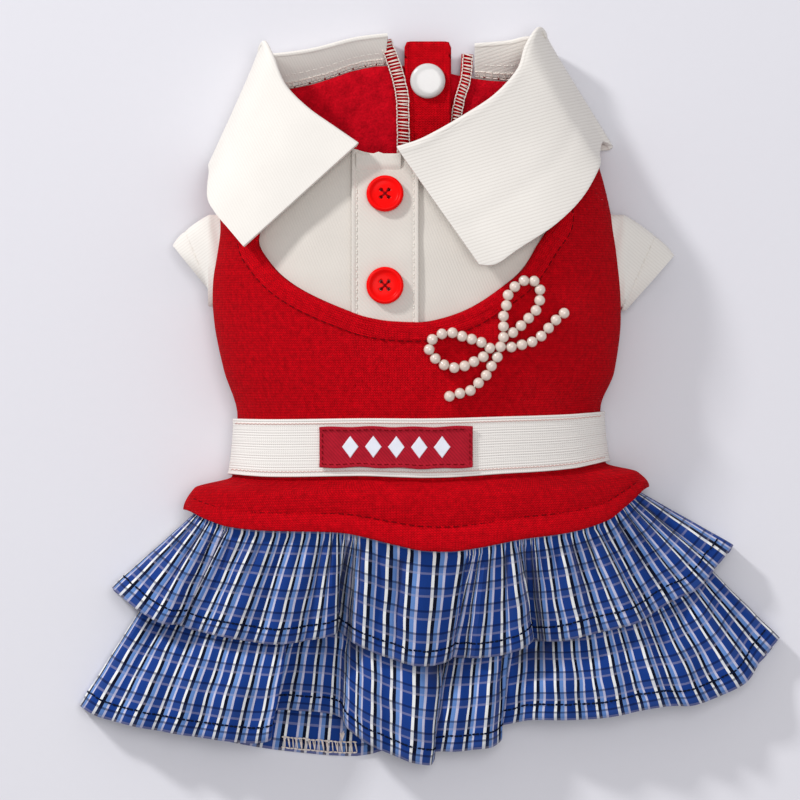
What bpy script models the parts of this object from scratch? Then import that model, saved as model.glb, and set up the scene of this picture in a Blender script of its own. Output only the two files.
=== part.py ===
"""A small dog's dress, lying with its decorated side up.

A knitted body, a white shirt front with a spread collar, an elastic waist and a skirt of two plaid tiers.
The neck points along +Y, the skirt along -Y, and the belly side rests at z = 0.
"""
import math

import bmesh
import bpy
from mathutils import Matrix, Vector
from mathutils.bvhtree import BVHTree

for old in list(bpy.data.objects):
    bpy.data.objects.remove(old, do_unlink=True)

# Clearances and cloth walls
GAP = 0.0004
MERGE = 0.000001
CUTTER_DEPTH = 0.012
KNIT_WALL = 0.0016
TWILL_WALL = 0.0010
COLLAR_WALL = 0.0016
PLAID_WALL = 0.0010
ELASTIC_WALL = 0.0012
LABEL_WALL = 0.0009
STRIP_WALL = 0.0012

# The knitted body, from the shoulders to the turned hem band
NECK_PLACE = 0.120
NECK_TO_WAIST = 0.125
ELASTIC_WIDTH = 0.020
HEM_BAND_DEPTH = 0.010
NECK_WIDTH = 0.093
CHEST_WIDTH = 0.144
WAIST_WIDTH = 0.1284
HEM_WIDTH = 0.164
NECK_HEIGHT = 0.018
CHEST_HEIGHT = 0.0385
WAIST_HEIGHT = 0.0350
HEM_HEIGHT = 0.0370
SIDE_HEIGHT = 0.0095
BODY_LEAN = -0.0046
FRONT_FULLNESS = 2.4
BACK_FULLNESS = 5.0
HEM_BOW = 0.018
HEM_SLANT = 0.004

# The round cut of the knit front and the neck opening above it
SCOOP_DEPTH = 0.034
SCOOP_RISE = 0.0605
NECK_FRONT = 0.0855
NECK_FRONT_RISE = 0.034
NECK_BACK = 0.1175
NECK_BACK_DROP = 0.009
YOKE_LAP = 0.006

# The shirt front
FRONT_STRIP_WIDTH = 0.0236
FRONT_STRIP_PLACE = -0.0155
BUTTON_WIDTH = 0.013
BUTTON_THICKNESS = 0.0026
BUTTON_PITCH = 0.0318
BUTTON_DROP = 0.0145
BUTTON_HOLE_WIDTH = 0.0013
BUTTON_HOLE_PITCH = 0.0026
BUTTON_HOLE_TURN = 7.0

# The collar
STAND_HEIGHT = 0.0075
BACK_STAND_HEIGHT = 0.0095
FALL_LENGTH = 0.050

# The sleeves
ARMHOLE_LENGTH = 0.033
SLEEVE_HEIGHT = 0.0125
SLEEVE_HEM_WIDTH = 0.0275
SLEEVE_HEM_HEIGHT = 0.0090
SLEEVE_PLACE = 0.0485
SLEEVE_INSET = 0.004

# The label on the elastic
LABEL_LENGTH = 0.0526
LABEL_WIDTH = 0.0132
LABEL_PLACE = -0.0115

# The belly opening's strip and its press stud
BELLY_STRIP_WIDTH = 0.0165
BELLY_STRIP_PLACE = -0.0005
BELLY_STRIP_RISE = 0.0085
SNAP_WIDTH = 0.0124
SNAP_THICKNESS = 0.0020
SNAP_POST_WIDTH = 0.0034
SNAP_SOCKET_WIDTH = 0.0090
SNAP_DROP = 0.0140

# The skirt
SEAM_LAP = 0.0035
UPPER_TIER_LENGTH = 0.038
UPPER_TIER_WIDTH = 0.219
UPPER_TIER_LEAN = -0.0024
UPPER_TIER_RISE = 0.024
LOWER_TIER_LENGTH = 0.075
LOWER_TIER_WIDTH = 0.2465
LOWER_TIER_LEAN = 0.0
LOWER_TIER_RISE = 0.017
TIER_SPACE = 0.0033
TIER_CLEARANCE_REACH = 0.004
SEAM_ROOM = 0.0018
SEAM_DROP = 0.0020
TIER_MARGIN = 0.010
FRONT_HANG = 1.3
BELLY_HANG = 0.8
BELLY_COLUMNS = 14
UPPER_BELLY_DIP = 0.35
LOWER_BELLY_DIP = 0.13

# The bow of beads
BEAD_WIDTH = 0.0039
BEAD_THREAD_WIDTH = 0.0014
BEAD_SHOULDER = (0.60, 0.80)
BOW_SIDE = 0.0243
BOW_RISE = 0.0230

WAIST_PLACE = NECK_PLACE - NECK_TO_WAIST
BOW_PLACE = (BOW_SIDE, WAIST_PLACE + BOW_RISE)
BAND_PLACE = WAIST_PLACE - ELASTIC_WIDTH
HEM_PLACE = BAND_PLACE - HEM_BAND_DEPTH
SNAP_PLACE = NECK_BACK + BELLY_STRIP_RISE - SNAP_DROP
UNDER_COLLAR = COLLAR_WALL + 2 * GAP
UNDER_ELASTIC = ELASTIC_WALL + GAP

# Cross-sections of the body: a part's start and length, a share along it, the width and height that the
# section follows, its left and right reach as shares of half the width, its height as a share, the room
# under it, and how far the section bows down in front and slants.
UPPER_PART = (NECK_PLACE, NECK_TO_WAIST)
WAIST_PART = (WAIST_PLACE, ELASTIC_WIDTH)
BAND_PART = (BAND_PLACE, HEM_BAND_DEPTH)
BODY_SECTIONS = (
    # part, share, width, left, right, height, rise, under, bow, slant
    (UPPER_PART, 0.00, NECK_WIDTH, 1.12, 0.88, NECK_HEIGHT, 1.00, UNDER_COLLAR, 0.00, 0.0),
    (UPPER_PART, 0.10, CHEST_WIDTH, 0.80, 0.71, CHEST_HEIGHT, 0.60, UNDER_COLLAR, 0.00, 0.0),
    (UPPER_PART, 0.20, CHEST_WIDTH, 0.88, 0.82, CHEST_HEIGHT, 0.72, UNDER_COLLAR, 0.00, 0.0),
    (UPPER_PART, 0.34, CHEST_WIDTH, 0.97, 0.91, CHEST_HEIGHT, 0.84, UNDER_COLLAR, 0.00, 0.0),
    (UPPER_PART, 0.47, CHEST_WIDTH, 0.96, 0.96, CHEST_HEIGHT, 0.93, 0.0, 0.00, 0.0),
    (UPPER_PART, 0.63, CHEST_WIDTH, 1.00, 1.00, CHEST_HEIGHT, 0.99, 0.0, 0.00, 0.0),
    (UPPER_PART, 0.73, CHEST_WIDTH, 0.99, 1.00, CHEST_HEIGHT, 1.00, 0.0, 0.00, 0.0),
    (UPPER_PART, 0.88, CHEST_WIDTH, 0.94, 0.97, CHEST_HEIGHT, 0.97, 0.0, 0.00, 0.0),
    (WAIST_PART, 0.00, WAIST_WIDTH, 0.98, 1.01, WAIST_HEIGHT, 1.00, UNDER_ELASTIC, 0.06, 0.3),
    (WAIST_PART, 1.00, WAIST_WIDTH, 1.01, 1.04, WAIST_HEIGHT, 1.00, UNDER_ELASTIC, 0.20, 0.6),
    (BAND_PART, 0.35, HEM_WIDTH, 0.95, 0.95, HEM_HEIGHT, 1.00, 0.0, 0.42, 0.7),
    (BAND_PART, 1.00, HEM_WIDTH, 1.00, 1.00, HEM_HEIGHT, 1.00, 0.0, 1.00, 1.0),
)

# How far the front edge bows down, across the front
HEM_LINE = (
    # across, drop
    (-1.00, 0.00), (-0.90, 0.19), (-0.80, 0.36), (-0.66, 0.46), (-0.33, 0.57), (-0.09, 0.86), (0.03, 1.00),
    (0.15, 1.04), (0.27, 0.99), (0.45, 0.87), (0.63, 0.80), (0.81, 0.60), (0.91, 0.28), (1.00, 0.00),
)

# The scoop cut across the front, from its lowest point up
SCOOP_LINE = (
    # across, rise
    (-0.80, 0.77), (-0.70, 0.56), (-0.60, 0.39), (-0.49, 0.26), (-0.36, 0.14), (-0.24, 0.05), (-0.12, 0.01),
    (0.02, 0.00), (0.10, 0.03), (0.22, 0.11), (0.32, 0.22), (0.42, 0.37), (0.52, 0.54), (0.60, 0.80),
    (0.70, 1.00),
)

# The V of the neck opening in front, above the collar's front seam
NECK_LINE = (
    # across, rise
    (-1.00, 0.90), (-0.81, 0.66), (-0.63, 0.42), (-0.45, 0.22), (-0.30, 0.05), (-0.18, 0.00), (-0.05, 0.00),
    (0.05, 0.06), (0.15, 0.15), (0.33, 0.33), (0.56, 0.55), (0.83, 0.82), (1.00, 0.97),
)

# The belly side's neck edge
NECK_BACK_LINE = (
    # across, drop
    (-1.00, 0.60), (-0.85, 0.95), (-0.67, 0.79), (-0.50, 0.48), (-0.33, 0.17), (-0.12, 0.00), (0.10, 0.00),
    (0.47, 0.48), (0.63, 0.60), (0.78, 0.62), (1.00, 0.30),
)

FRONT = 1
BELLY = -1

# Collar sections round the neck: the side of the body and the place across it, how far the fold stands
# from the seam as shares of the belly stand's height, its rise as a share of the front stand's height, the
# direction and length of the fall, the height of its edge as a share of the chest's, and how far the
# fall is tucked under the dress.
COLLAR_LEFT = (
    # side, across, fold x, fold y, rise, angle, fall, edge, tuck
    (BELLY, -0.12, 0.10, 0.90, 0.75, 270, 0.76, 0.030, 1.0),
    (BELLY, -0.33, -0.10, 0.90, 0.75, 268, 0.76, 0.030, 1.0),
    (BELLY, -0.60, -0.35, 0.95, 0.80, 262, 0.76, 0.030, 1.0),
    (BELLY, -0.85, -0.55, 1.05, 0.90, 254, 0.80, 0.030, 1.0),
    (FRONT, -1.00, -0.10, 0.75, 1.05, 246, 0.92, 0.16, 0.5),
    (FRONT, -0.96, 0.00, 0.30, 1.25, 242, 0.92, 0.40, 0.0),
    (FRONT, -0.81, 0.00, 0.00, 1.20, 236, 0.94, 0.63, 0.0),
    (FRONT, -0.63, 0.00, 0.00, 1.10, 229, 0.96, 0.76, 0.0),
    (FRONT, -0.45, 0.00, 0.00, 1.05, 225, 1.01, 0.86, 0.0),
    (FRONT, -0.30, 0.00, 0.00, 1.05, 222, 1.06, 0.92, 0.0),
)
COLLAR_RIGHT = (
    # side, across, fold x, fold y, rise, angle, fall, edge, tuck
    (FRONT, -0.05, 0.00, 0.00, 1.05, 305, 0.99, 1.10, 0.0),
    (FRONT, 0.05, 0.00, 0.00, 1.05, 303, 1.01, 1.09, 0.0),
    (FRONT, 0.15, 0.00, 0.00, 1.05, 306, 0.99, 1.07, 0.0),
    (FRONT, 0.33, 0.00, 0.00, 1.05, 310, 0.98, 0.97, 0.0),
    (FRONT, 0.56, 0.00, 0.00, 1.10, 310, 0.93, 0.82, 0.0),
    (FRONT, 0.83, 0.00, 0.00, 1.20, 309, 0.88, 0.62, 0.0),
    (FRONT, 0.96, 0.00, 0.40, 1.25, 304, 0.90, 0.40, 0.0),
    (FRONT, 1.00, 0.25, 1.00, 1.05, 300, 0.90, 0.16, 0.5),
    (BELLY, 0.97, 0.35, 1.10, 1.00, 301, 0.90, 0.035, 0.9),
    (BELLY, 0.86, 0.00, 1.25, 0.90, 286, 0.80, 0.030, 1.0),
    (BELLY, 0.72, 0.00, 1.20, 0.80, 280, 0.76, 0.030, 1.0),
    (BELLY, 0.50, 0.00, 1.00, 0.75, 272, 0.74, 0.030, 1.0),
)

# A collar section from its fold to its edge: the share of the fall's length and the share of its drop,
# lying open in front and tucked under at the belly.
FALL_PROFILE = (
    # open length, open drop, tucked length, tucked drop
    (0.02, -0.02, 0.00, 0.10),
    (0.09, -0.05, 0.00, 0.55),
    (0.34, 0.12, 0.10, 0.97),
    (0.67, 0.52, 0.50, 1.00),
    (1.00, 1.00, 1.00, 1.00),
)

# The hems of the two tiers from the left side to the right, a row for each crest, flank and valley: the
# place across the hem, the place across the gathered seam that it hangs from, its reach as a share of the
# tier's length and its height as a share of the tier's rise.
UPPER_FOLDS = (
    # hem, seam, reach, rise
    (-1.00, -1.00, 0.68, 0.25), (-0.91, -0.94, 0.84, 0.66), (-0.83, -0.88, 0.91, 0.60),
    (-0.79, -0.83, 0.83, 0.36), (-0.76, -0.80, 0.87, 0.60), (-0.64, -0.66, 0.93, 0.84),
    (-0.48, -0.50, 0.99, 0.92), (-0.36, -0.38, 0.95, 0.84), (-0.30, -0.33, 0.86, 0.60),
    (-0.26, -0.29, 0.78, 0.36), (-0.22, -0.25, 0.94, 0.72), (-0.14, -0.14, 0.99, 0.96),
    (-0.02, 0.03, 1.01, 1.00), (0.06, 0.17, 0.99, 0.84), (0.09, 0.22, 0.94, 0.52),
    (0.12, 0.26, 0.97, 0.84), (0.23, 0.35, 0.99, 1.00), (0.32, 0.41, 0.94, 0.84), (0.36, 0.45, 0.85, 0.40),
    (0.39, 0.50, 0.91, 0.72), (0.54, 0.65, 0.89, 0.96), (0.70, 0.78, 0.85, 0.88), (0.76, 0.85, 0.82, 0.60),
    (0.87, 0.92, 0.78, 0.74), (0.96, 0.97, 0.61, 0.50), (1.00, 1.00, 0.50, 0.25),
)
LOWER_FOLDS = (
    # hem, seam, reach, rise
    (-1.00, -1.00, 0.90, 0.20), (-0.94, -0.94, 0.93, 0.60), (-0.80, -0.82, 0.93, 0.84),
    (-0.64, -0.66, 0.95, 0.94), (-0.51, -0.52, 0.97, 0.80), (-0.46, -0.47, 0.94, 0.50),
    (-0.41, -0.42, 0.82, 0.24), (-0.31, -0.35, 0.83, 0.24), (-0.25, -0.30, 0.85, 0.27),
    (-0.22, -0.26, 0.90, 0.60), (-0.13, -0.14, 0.96, 0.88), (-0.05, 0.01, 0.97, 0.94),
    (-0.01, 0.14, 0.98, 0.80), (0.01, 0.19, 0.94, 0.42), (0.03, 0.24, 0.93, 0.72), (0.10, 0.31, 0.94, 0.94),
    (0.17, 0.38, 0.94, 0.84), (0.20, 0.43, 0.90, 0.38), (0.23, 0.47, 0.85, 0.70), (0.30, 0.55, 0.84, 0.90),
    (0.49, 0.70, 0.86, 1.00), (0.65, 0.81, 0.85, 1.00), (0.77, 0.88, 0.89, 0.84), (0.90, 0.94, 0.85, 0.64),
    (0.95, 0.97, 0.77, 0.50), (1.00, 1.00, 0.69, 0.20),
)

# The bow's strings of beads, as steps in millimetres from its middle bead. The first and the last step of
# each are beads of another string, which its thread runs into.
BOW_STRINGS = {
    "upper_loop": ((0, 0), (1.0, 3.3), (1.0, 7.0), (1.0, 10.6), (2.0, 14.3), (2.6, 17.9), (4.9, 20.8),
                   (8.0, 22.9), (11.5, 22.8), (13.5, 19.8), (13.4, 16.1), (12.1, 12.6), (9.6, 9.9),
                   (7.0, 7.3), None),
    "upper_closing": ((7.0, 7.3), (4.2, 4.9), (1.0, 3.3)),
    "left_loop": ((0, 0), (-3.7, -0.5), (-6.6, 1.5), (-9.9, 2.6), (-13.2, 3.6), (-16.5, 4.8), (-20.1, 4.4),
                  (-23.4, 2.5), (-24.5, -1.0), (-22.4, -4.1), (-19.4, -6.3), (-15.9, -7.3), (-12.3, -6.7),
                  (-9.1, -5.2), None),
    "left_closing": ((-9.1, -5.2), (-5.9, -3.5), (-3.7, -0.5)),
    "right_tail": ((0, 0), (3.7, -0.1), (7.3, 0.7), (10.8, 1.7), (13.9, 3.7), (16.4, 6.5), (18.9, 9.3),
                   (21.7, 11.7), None),
    "left_tail": ((0, 0), (-1.1, -3.6), (-3.1, -6.7), (-4.9, -9.9), (-7.5, -12.5), (-10.3, -15.0),
                  (-13.9, -15.9), (-17.5, -16.8), None),
}

# A button's outline from the middle of its underside to the middle of its face, as shares of half its
# width and of its thickness, and the stud cap's from its post out and up to the middle of its dome
BUTTON_PROFILE = (
    # radius, height
    (0.00, 0.00), (0.80, 0.00), (1.00, 0.45), (0.93, 1.00), (0.78, 1.00), (0.67, 0.62), (0.00, 0.62),
)
CAP_PROFILE = (
    # radius, height
    (0.94, 0.00), (1.00, 0.40), (0.85, 0.85), (0.50, 1.00), (0.00, 1.00),
)

# The middle of a sleeve's hem from the armhole's middle in metres, the direction of the hem in degrees,
# and the share of its width that lies free of the body
SLEEVE_HEMS = {
    "left": (-0.0080, -0.0022, -0.0040, 130.0, 0.70),
    "right": (0.0108, -0.0076, -0.0040, 48.0, 0.90),
}

KNIT_RED = ((0.60, 0.004, 0.02), 0.85)
TWILL_WHITE = ((0.85, 0.82, 0.77), 0.80)
PLAID_BLUE = ((0.05, 0.12, 0.42), 0.75)
LABEL_RED = ((0.36, 0.01, 0.025), 0.80)
BUTTON_RED = ((0.80, 0.005, 0.005), 0.25)
SNAP_WHITE = ((0.85, 0.85, 0.83), 0.20)
PEARL_IVORY = ((0.88, 0.83, 0.74), 0.18)


def material(name, finish):
    """A Principled material with a colour and a roughness."""
    made = bpy.data.materials.new(name)
    made.use_nodes = True
    shader = made.node_tree.nodes["Principled BSDF"]
    colour, roughness = finish
    shader.inputs["Base Color"].default_value = (*colour, 1.0)
    shader.inputs["Roughness"].default_value = roughness
    shader.inputs["Metallic"].default_value = 0.0
    made.diffuse_color = (*colour, 1.0)
    return made


def blend(start, end, share):
    """A value part of the way from one to another."""
    return start + (end - start) * share


def read_row(rows, place):
    """All columns of a table at a place, on a smooth curve through its rows that never overshoots them."""
    if place <= rows[0][0]:
        return rows[0][1:]
    if place >= rows[-1][0]:
        return rows[-1][1:]
    index = max(i for i in range(len(rows) - 1) if rows[i][0] <= place)
    span = rows[index + 1][0] - rows[index][0]
    t = (place - rows[index][0]) / span

    def slope(i, column):
        if i == 0 or i == len(rows) - 1:
            return 0.0
        before = (rows[i][column] - rows[i - 1][column]) / (rows[i][0] - rows[i - 1][0])
        after = (rows[i + 1][column] - rows[i][column]) / (rows[i + 1][0] - rows[i][0])
        return 2 * before * after / (before + after) if before * after > 0 else 0.0

    values = []
    for column in range(1, len(rows[0])):
        low, high = rows[index][column], rows[index + 1][column]
        rise_in, rise_out = slope(index, column) * span, slope(index + 1, column) * span
        values.append(
            (2 * t ** 3 - 3 * t ** 2 + 1) * low + (t ** 3 - 2 * t ** 2 + t) * rise_in
            + (3 * t ** 2 - 2 * t ** 3) * high + (t ** 3 - t ** 2) * rise_out
        )
    return values


def body_table():
    """The body's sections in metres, from the hem up: place, left, right, top, bottom, bow and slant."""
    rows = []
    for part, share, width, left, right, height, rise, under, bow, slant in BODY_SECTIONS:
        place = part[0] - share * part[1]
        half = width / 2
        rows.append((place, BODY_LEAN - left * half, BODY_LEAN + right * half, rise * height, under,
                     bow * HEM_BOW, slant * HEM_SLANT))
    return sorted(rows)


BODY = body_table()


def body_point(place, side, across, out=0.0):
    """A point on the body: how far along it, the front or the belly side, the share across it from -1 at
    the left to 1 at the right, and how far it stands out from the knit's outer face."""
    left, right, top, bottom, bow, slant = read_row(BODY, place)
    middle, half = (left + right) / 2, (right - left) / 2
    fullness = FRONT_FULLNESS if side == FRONT else BACK_FULLNESS
    depth = top - SIDE_HEIGHT if side == FRONT else SIDE_HEIGHT - bottom
    across = max(-1.0, min(1.0, across))
    lift = (1 - abs(across) ** fullness) ** (1 / fullness)
    normal = Vector((math.copysign(abs(across) ** (fullness - 1), across) / half, 0,
                     side * lift ** (fullness - 1) / depth)).normalized()
    drop = bow * read_row(HEM_LINE, across)[0] if side == FRONT else 0.0
    point = Vector((middle + half * across, place + slant * across - drop, SIDE_HEIGHT + side * depth * lift))
    return point + normal * out


def body_top(x, y):
    """The height of the body's front face over a place on the floor, above the waist."""
    left, right, top = read_row(BODY, y)[:3]
    across = (2 * x - left - right) / (right - left)
    if abs(across) >= 1:
        return 0.0
    return SIDE_HEIGHT + (top - SIDE_HEIGHT) * (1 - abs(across) ** FRONT_FULLNESS) ** (1 / FRONT_FULLNESS)


def round_columns(front_count, belly_count, extra=()):
    """Places round the body, from the left side over the front and back along the belly side. They are
    even in angle, so that they crowd at the sides, with a few extra ones in front."""
    front = [-math.cos(math.pi * i / front_count) for i in range(front_count + 1)]
    front = [share for share in front if all(abs(share - other) > 0.02 for other in extra)]
    belly = [math.cos(math.pi * i / belly_count) for i in range(1, belly_count)]
    columns = [(FRONT, share) for share in sorted(front + list(extra))]
    columns += [(BELLY, math.copysign(abs(share) ** 0.6, share)) for share in belly]
    return columns + [columns[0]]


def scoop_place(across):
    """The scoop's edge along the body."""
    return SCOOP_RISE - SCOOP_DEPTH + SCOOP_DEPTH * read_row(SCOOP_LINE, across)[0]


def neck_place(side, across):
    """The neck edge along the body."""
    if side == FRONT:
        return NECK_FRONT + NECK_FRONT_RISE * read_row(NECK_LINE, across)[0]
    return NECK_BACK - NECK_BACK_DROP * read_row(NECK_BACK_LINE, across)[0]


def new_object(name, mesh, finish):
    """An object of a bmesh, with its own material."""
    data = bpy.data.meshes.new(name)
    mesh.to_mesh(data)
    mesh.free()
    made = bpy.data.objects.new(name, data)
    bpy.context.scene.collection.objects.link(made)
    made.data.materials.append(material(name, finish))
    made.data.shade_smooth()
    made.data.set_sharp_from_angle(angle=math.radians(50))
    return made


def add_wall(made, wall, inward=True):
    """Cloth thickness, from the laid out face inwards, or to both sides of it where it is sharply folded."""
    solidify = made.modifiers.new("Wall", "SOLIDIFY")
    solidify.thickness = wall
    solidify.offset = -1 if inward else 0
    solidify.use_even_offset = inward


def laid_grid(columns, rows, place, inside=None, slits=()):
    """A grid laid out by place(u, v), with u and v from 0 to 1 and its doubled edges merged. It faces away
    from the inside, which is its own middle if no point is given. A slit is a column left without faces."""
    mesh = bmesh.new()
    bmesh.ops.create_grid(mesh, x_segments=columns, y_segments=rows, size=0.5)
    open_faces = [face for face in mesh.faces if int((face.calc_center_median().x + 0.5) * columns) in slits]
    bmesh.ops.delete(mesh, geom=open_faces, context="FACES")
    for vert in mesh.verts:
        vert.co = place(vert.co.x + 0.5, vert.co.y + 0.5)
    bmesh.ops.remove_doubles(mesh, verts=mesh.verts, dist=MERGE)
    if inside is None:
        inside = sum((vert.co for vert in mesh.verts), Vector()) / len(mesh.verts)
    mesh.normal_update()
    outward = sum((face.calc_center_median() - inside).dot(face.normal) for face in mesh.faces)
    if outward < 0:
        bmesh.ops.reverse_faces(mesh, faces=mesh.faces)
    return mesh


FAR_BELOW = Vector((0, 0, -1))


def pick(items, share):
    """The item at a share of a list."""
    return items[round(share * (len(items) - 1))]


def cut(target, cutter):
    """Cut a hidden cutter out of an object."""
    cutter.hide_render = True
    cutter.display_type = "WIRE"
    boolean = target.modifiers.new("Cut " + cutter.name, "BOOLEAN")
    boolean.operation = "DIFFERENCE"
    boolean.solver = "EXACT"
    boolean.object = cutter


def prism(name, sides, radius_x, radius_y, depth, centre, turn=None):
    """A round or oval bar along its own Z, turned and set at its centre."""
    mesh = bmesh.new()
    bmesh.ops.create_cone(mesh, cap_ends=True, segments=sides, radius1=1, radius2=1, depth=depth)
    shape = Matrix.Diagonal((radius_x, radius_y, 1, 1))
    seat = Matrix.Translation(centre) @ (turn or Matrix())
    bmesh.ops.transform(mesh, matrix=seat @ shape, verts=mesh.verts)
    return new_object(name, mesh, KNIT_RED)


SCOOP_ENDS = (SCOOP_LINE[0][0], SCOOP_LINE[-1][0])
BODY_COLUMNS = round_columns(24, 12, SCOOP_ENDS)
ROW_SHARES = (0.0, 0.07, 0.16, 0.26, 0.38, 0.60, 0.67, 0.75, 0.87, 1.0)
UPPER_ROWS = sorted([NECK_PLACE - share * NECK_TO_WAIST for share in ROW_SHARES]
                    + [scoop_place(end) for end in SCOOP_ENDS], reverse=True)
YOKE_FACE = -KNIT_WALL - 2 * GAP
STRIP_FACE = YOKE_FACE + GAP + TWILL_WALL


def make_bodice():
    """The knitted body: one wall round, open at the neck and the hem, with the scoop and the armholes."""
    lower = [blend(WAIST_PLACE, BAND_PLACE, 0.5), BAND_PLACE, blend(BAND_PLACE, HEM_PLACE, 0.35),
             HEM_PLACE + SEAM_LAP, HEM_PLACE]
    rows = UPPER_ROWS + lower

    left, right = (BODY_COLUMNS.index((FRONT, end)) for end in SCOOP_ENDS)
    columns = BODY_COLUMNS[:left] + BODY_COLUMNS[left:left + 1] + BODY_COLUMNS[left:right + 1]
    columns += BODY_COLUMNS[right:]
    scoop = range(left + 1, right + 2)

    def place(u, v):
        index = round(u * (len(columns) - 1))
        side, across = columns[index]
        start = scoop_place(across) if index in scoop else neck_place(side, across)
        return body_point(min(start, pick(rows, 1 - v)), side, across)

    mesh = laid_grid(len(columns) - 1, len(rows) - 1, place, slits=(left, right + 1))
    bodice = new_object("bodice", mesh, KNIT_RED)
    add_wall(bodice, KNIT_WALL)
    for name, side in (("left", -1), ("right", 1)):
        hole = prism("armhole_cutter_" + name, 18, SLEEVE_HEIGHT / 2, ARMHOLE_LENGTH / 2, CUTTER_DEPTH,
                     sleeve_root(side), Matrix.Rotation(math.pi / 2, 4, "Y"))
        cut(bodice, hole)
    post_hole = SNAP_POST_WIDTH / 2 + GAP
    cut(bodice, prism("bodice_post_cutter", 14, post_hole, post_hole, CUTTER_DEPTH,
                      Vector((BELLY_STRIP_PLACE, SNAP_PLACE, UNDER_COLLAR))))
    return bodice


def sleeve_root(side):
    """The middle of an armhole, on the body's side."""
    left, right = read_row(BODY, SLEEVE_PLACE)[:2]
    return Vector((left if side < 0 else right, SLEEVE_PLACE, SIDE_HEIGHT + GAP))


def make_sleeve(name, side):
    """A cap sleeve: a flat tube from inside the armhole to its slanted hem."""
    root = sleeve_root(side)
    step_x, step_y, step_z, angle, free = SLEEVE_HEMS[name]
    hem = root + Vector((step_x, step_y, step_z))
    hem_along = Vector((math.cos(math.radians(angle)), math.sin(math.radians(angle)), 0))
    inset = Vector((SLEEVE_INSET * side, 0, 0))
    stations = (
        (root - inset, Vector((0, 1, 0)), ARMHOLE_LENGTH / 2 - 2 * GAP, SLEEVE_HEIGHT / 2 - 2 * GAP),
        (root + inset * 0.4, Vector((0, 1, 0)), ARMHOLE_LENGTH / 2 - 2 * GAP, SLEEVE_HEIGHT / 2 - 2 * GAP),
        (hem, hem_along, free * SLEEVE_HEM_WIDTH / 2, SLEEVE_HEM_HEIGHT / 2),
    )

    def place(u, v):
        turn = 2 * math.pi * u
        low = 0 if v < 0.2 else 1
        share = v / 0.2 if low == 0 else (v - 0.2) / 0.8
        first, last = stations[low], stations[low + 1]
        middle, along, length, height = (blend(a, b, share) for a, b in zip(first, last))
        return middle + along.normalized() * length * math.cos(turn) + Vector((0, 0, height * math.sin(turn)))

    mesh = laid_grid(16, 5, place)
    sleeve = new_object("sleeve_" + name, mesh, TWILL_WHITE)
    add_wall(sleeve, TWILL_WALL, inward=False)
    return sleeve


def make_yoke():
    """The white front under the scoop, from the neck edge to below the scoop's edge."""
    lap = YOKE_LAP / (CHEST_WIDTH / 2)
    start, end = SCOOP_ENDS[0] - lap, SCOOP_ENDS[1] + lap
    columns = [share for side, share in BODY_COLUMNS[:-1] if side == FRONT and start < share < end]

    def place(u, v):
        across = pick(columns, u)
        along = max(scoop_place(across) - YOKE_LAP, min(neck_place(FRONT, across), pick(UPPER_ROWS, 1 - v)))
        return body_point(along, FRONT, across, YOKE_FACE)

    mesh = laid_grid(len(columns) - 1, len(UPPER_ROWS) - 1, place, FAR_BELOW)
    yoke = new_object("shirt_yoke", mesh, TWILL_WHITE)
    add_wall(yoke, TWILL_WALL)
    return yoke


def strip_across(x, place):
    """The share across the body of a place from its left to its right."""
    left, right = read_row(BODY, place)[:2]
    return (2 * x - left - right) / (right - left)


def make_front_strip():
    """The strip down the yoke, from the neck edge to the scoop's edge."""

    def place(u, v):
        x = FRONT_STRIP_PLACE + FRONT_STRIP_WIDTH * (u - 0.5)
        along = NECK_FRONT
        for _ in range(4):
            across = strip_across(x, along)
            along = blend(neck_place(FRONT, across), scoop_place(across) + 2 * GAP, 1 - v)
        return body_point(along, FRONT, across, STRIP_FACE)

    strip = new_object("yoke_placket", laid_grid(6, 6, place, FAR_BELOW), TWILL_WHITE)
    add_wall(strip, TWILL_WALL)
    return strip


def make_button(name, along):
    """A round button with a raised rim and four holes, seated on the front strip."""
    mesh = bmesh.new()
    verts = [mesh.verts.new((x * BUTTON_WIDTH / 2, 0, z * BUTTON_THICKNESS)) for x, z in BUTTON_PROFILE]
    edges = [mesh.edges.new(pair) for pair in zip(verts, verts[1:])]
    bmesh.ops.spin(mesh, geom=verts + edges, cent=(0, 0, 0), axis=(0, 0, 1), angle=2 * math.pi, steps=16,
                   use_merge=True)
    bmesh.ops.remove_doubles(mesh, verts=mesh.verts, dist=MERGE)
    bmesh.ops.recalc_face_normals(mesh, faces=mesh.faces)
    seat, turn = seat_on_body(FRONT_STRIP_PLACE, along, STRIP_FACE + GAP)
    bmesh.ops.transform(mesh, matrix=Matrix.Translation(seat) @ turn, verts=mesh.verts)
    button = new_object(name, mesh, BUTTON_RED)
    hole_turn = turn @ Matrix.Rotation(math.radians(BUTTON_HOLE_TURN), 4, "Z")
    for index in range(4):
        angle = math.radians(45 + 90 * index + BUTTON_HOLE_TURN)
        reach = BUTTON_HOLE_PITCH / math.sqrt(2)
        step = Vector((reach * math.cos(angle), reach * math.sin(angle), BUTTON_THICKNESS / 2))
        middle = seat + turn @ step
        hole = prism(f"{name}_hole_{index}", 8, BUTTON_HOLE_WIDTH / 2, BUTTON_HOLE_WIDTH / 2,
                     2 * BUTTON_THICKNESS, middle, hole_turn)
        cut(button, hole)
    return button


def seat_on_body(x, along, out):
    """A place on the body's front, and the turn that lays a flat thing on it."""
    step = 0.001
    here = body_point(along, FRONT, strip_across(x, along), out)
    right = body_point(along, FRONT, strip_across(x + step, along), out) - here
    up = body_point(along + step, FRONT, strip_across(x, along + step), out) - here
    normal = right.cross(up).normalized()
    right.normalize()
    turn = Matrix((right, normal.cross(right), normal)).transposed().to_4x4()
    return here, turn


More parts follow.
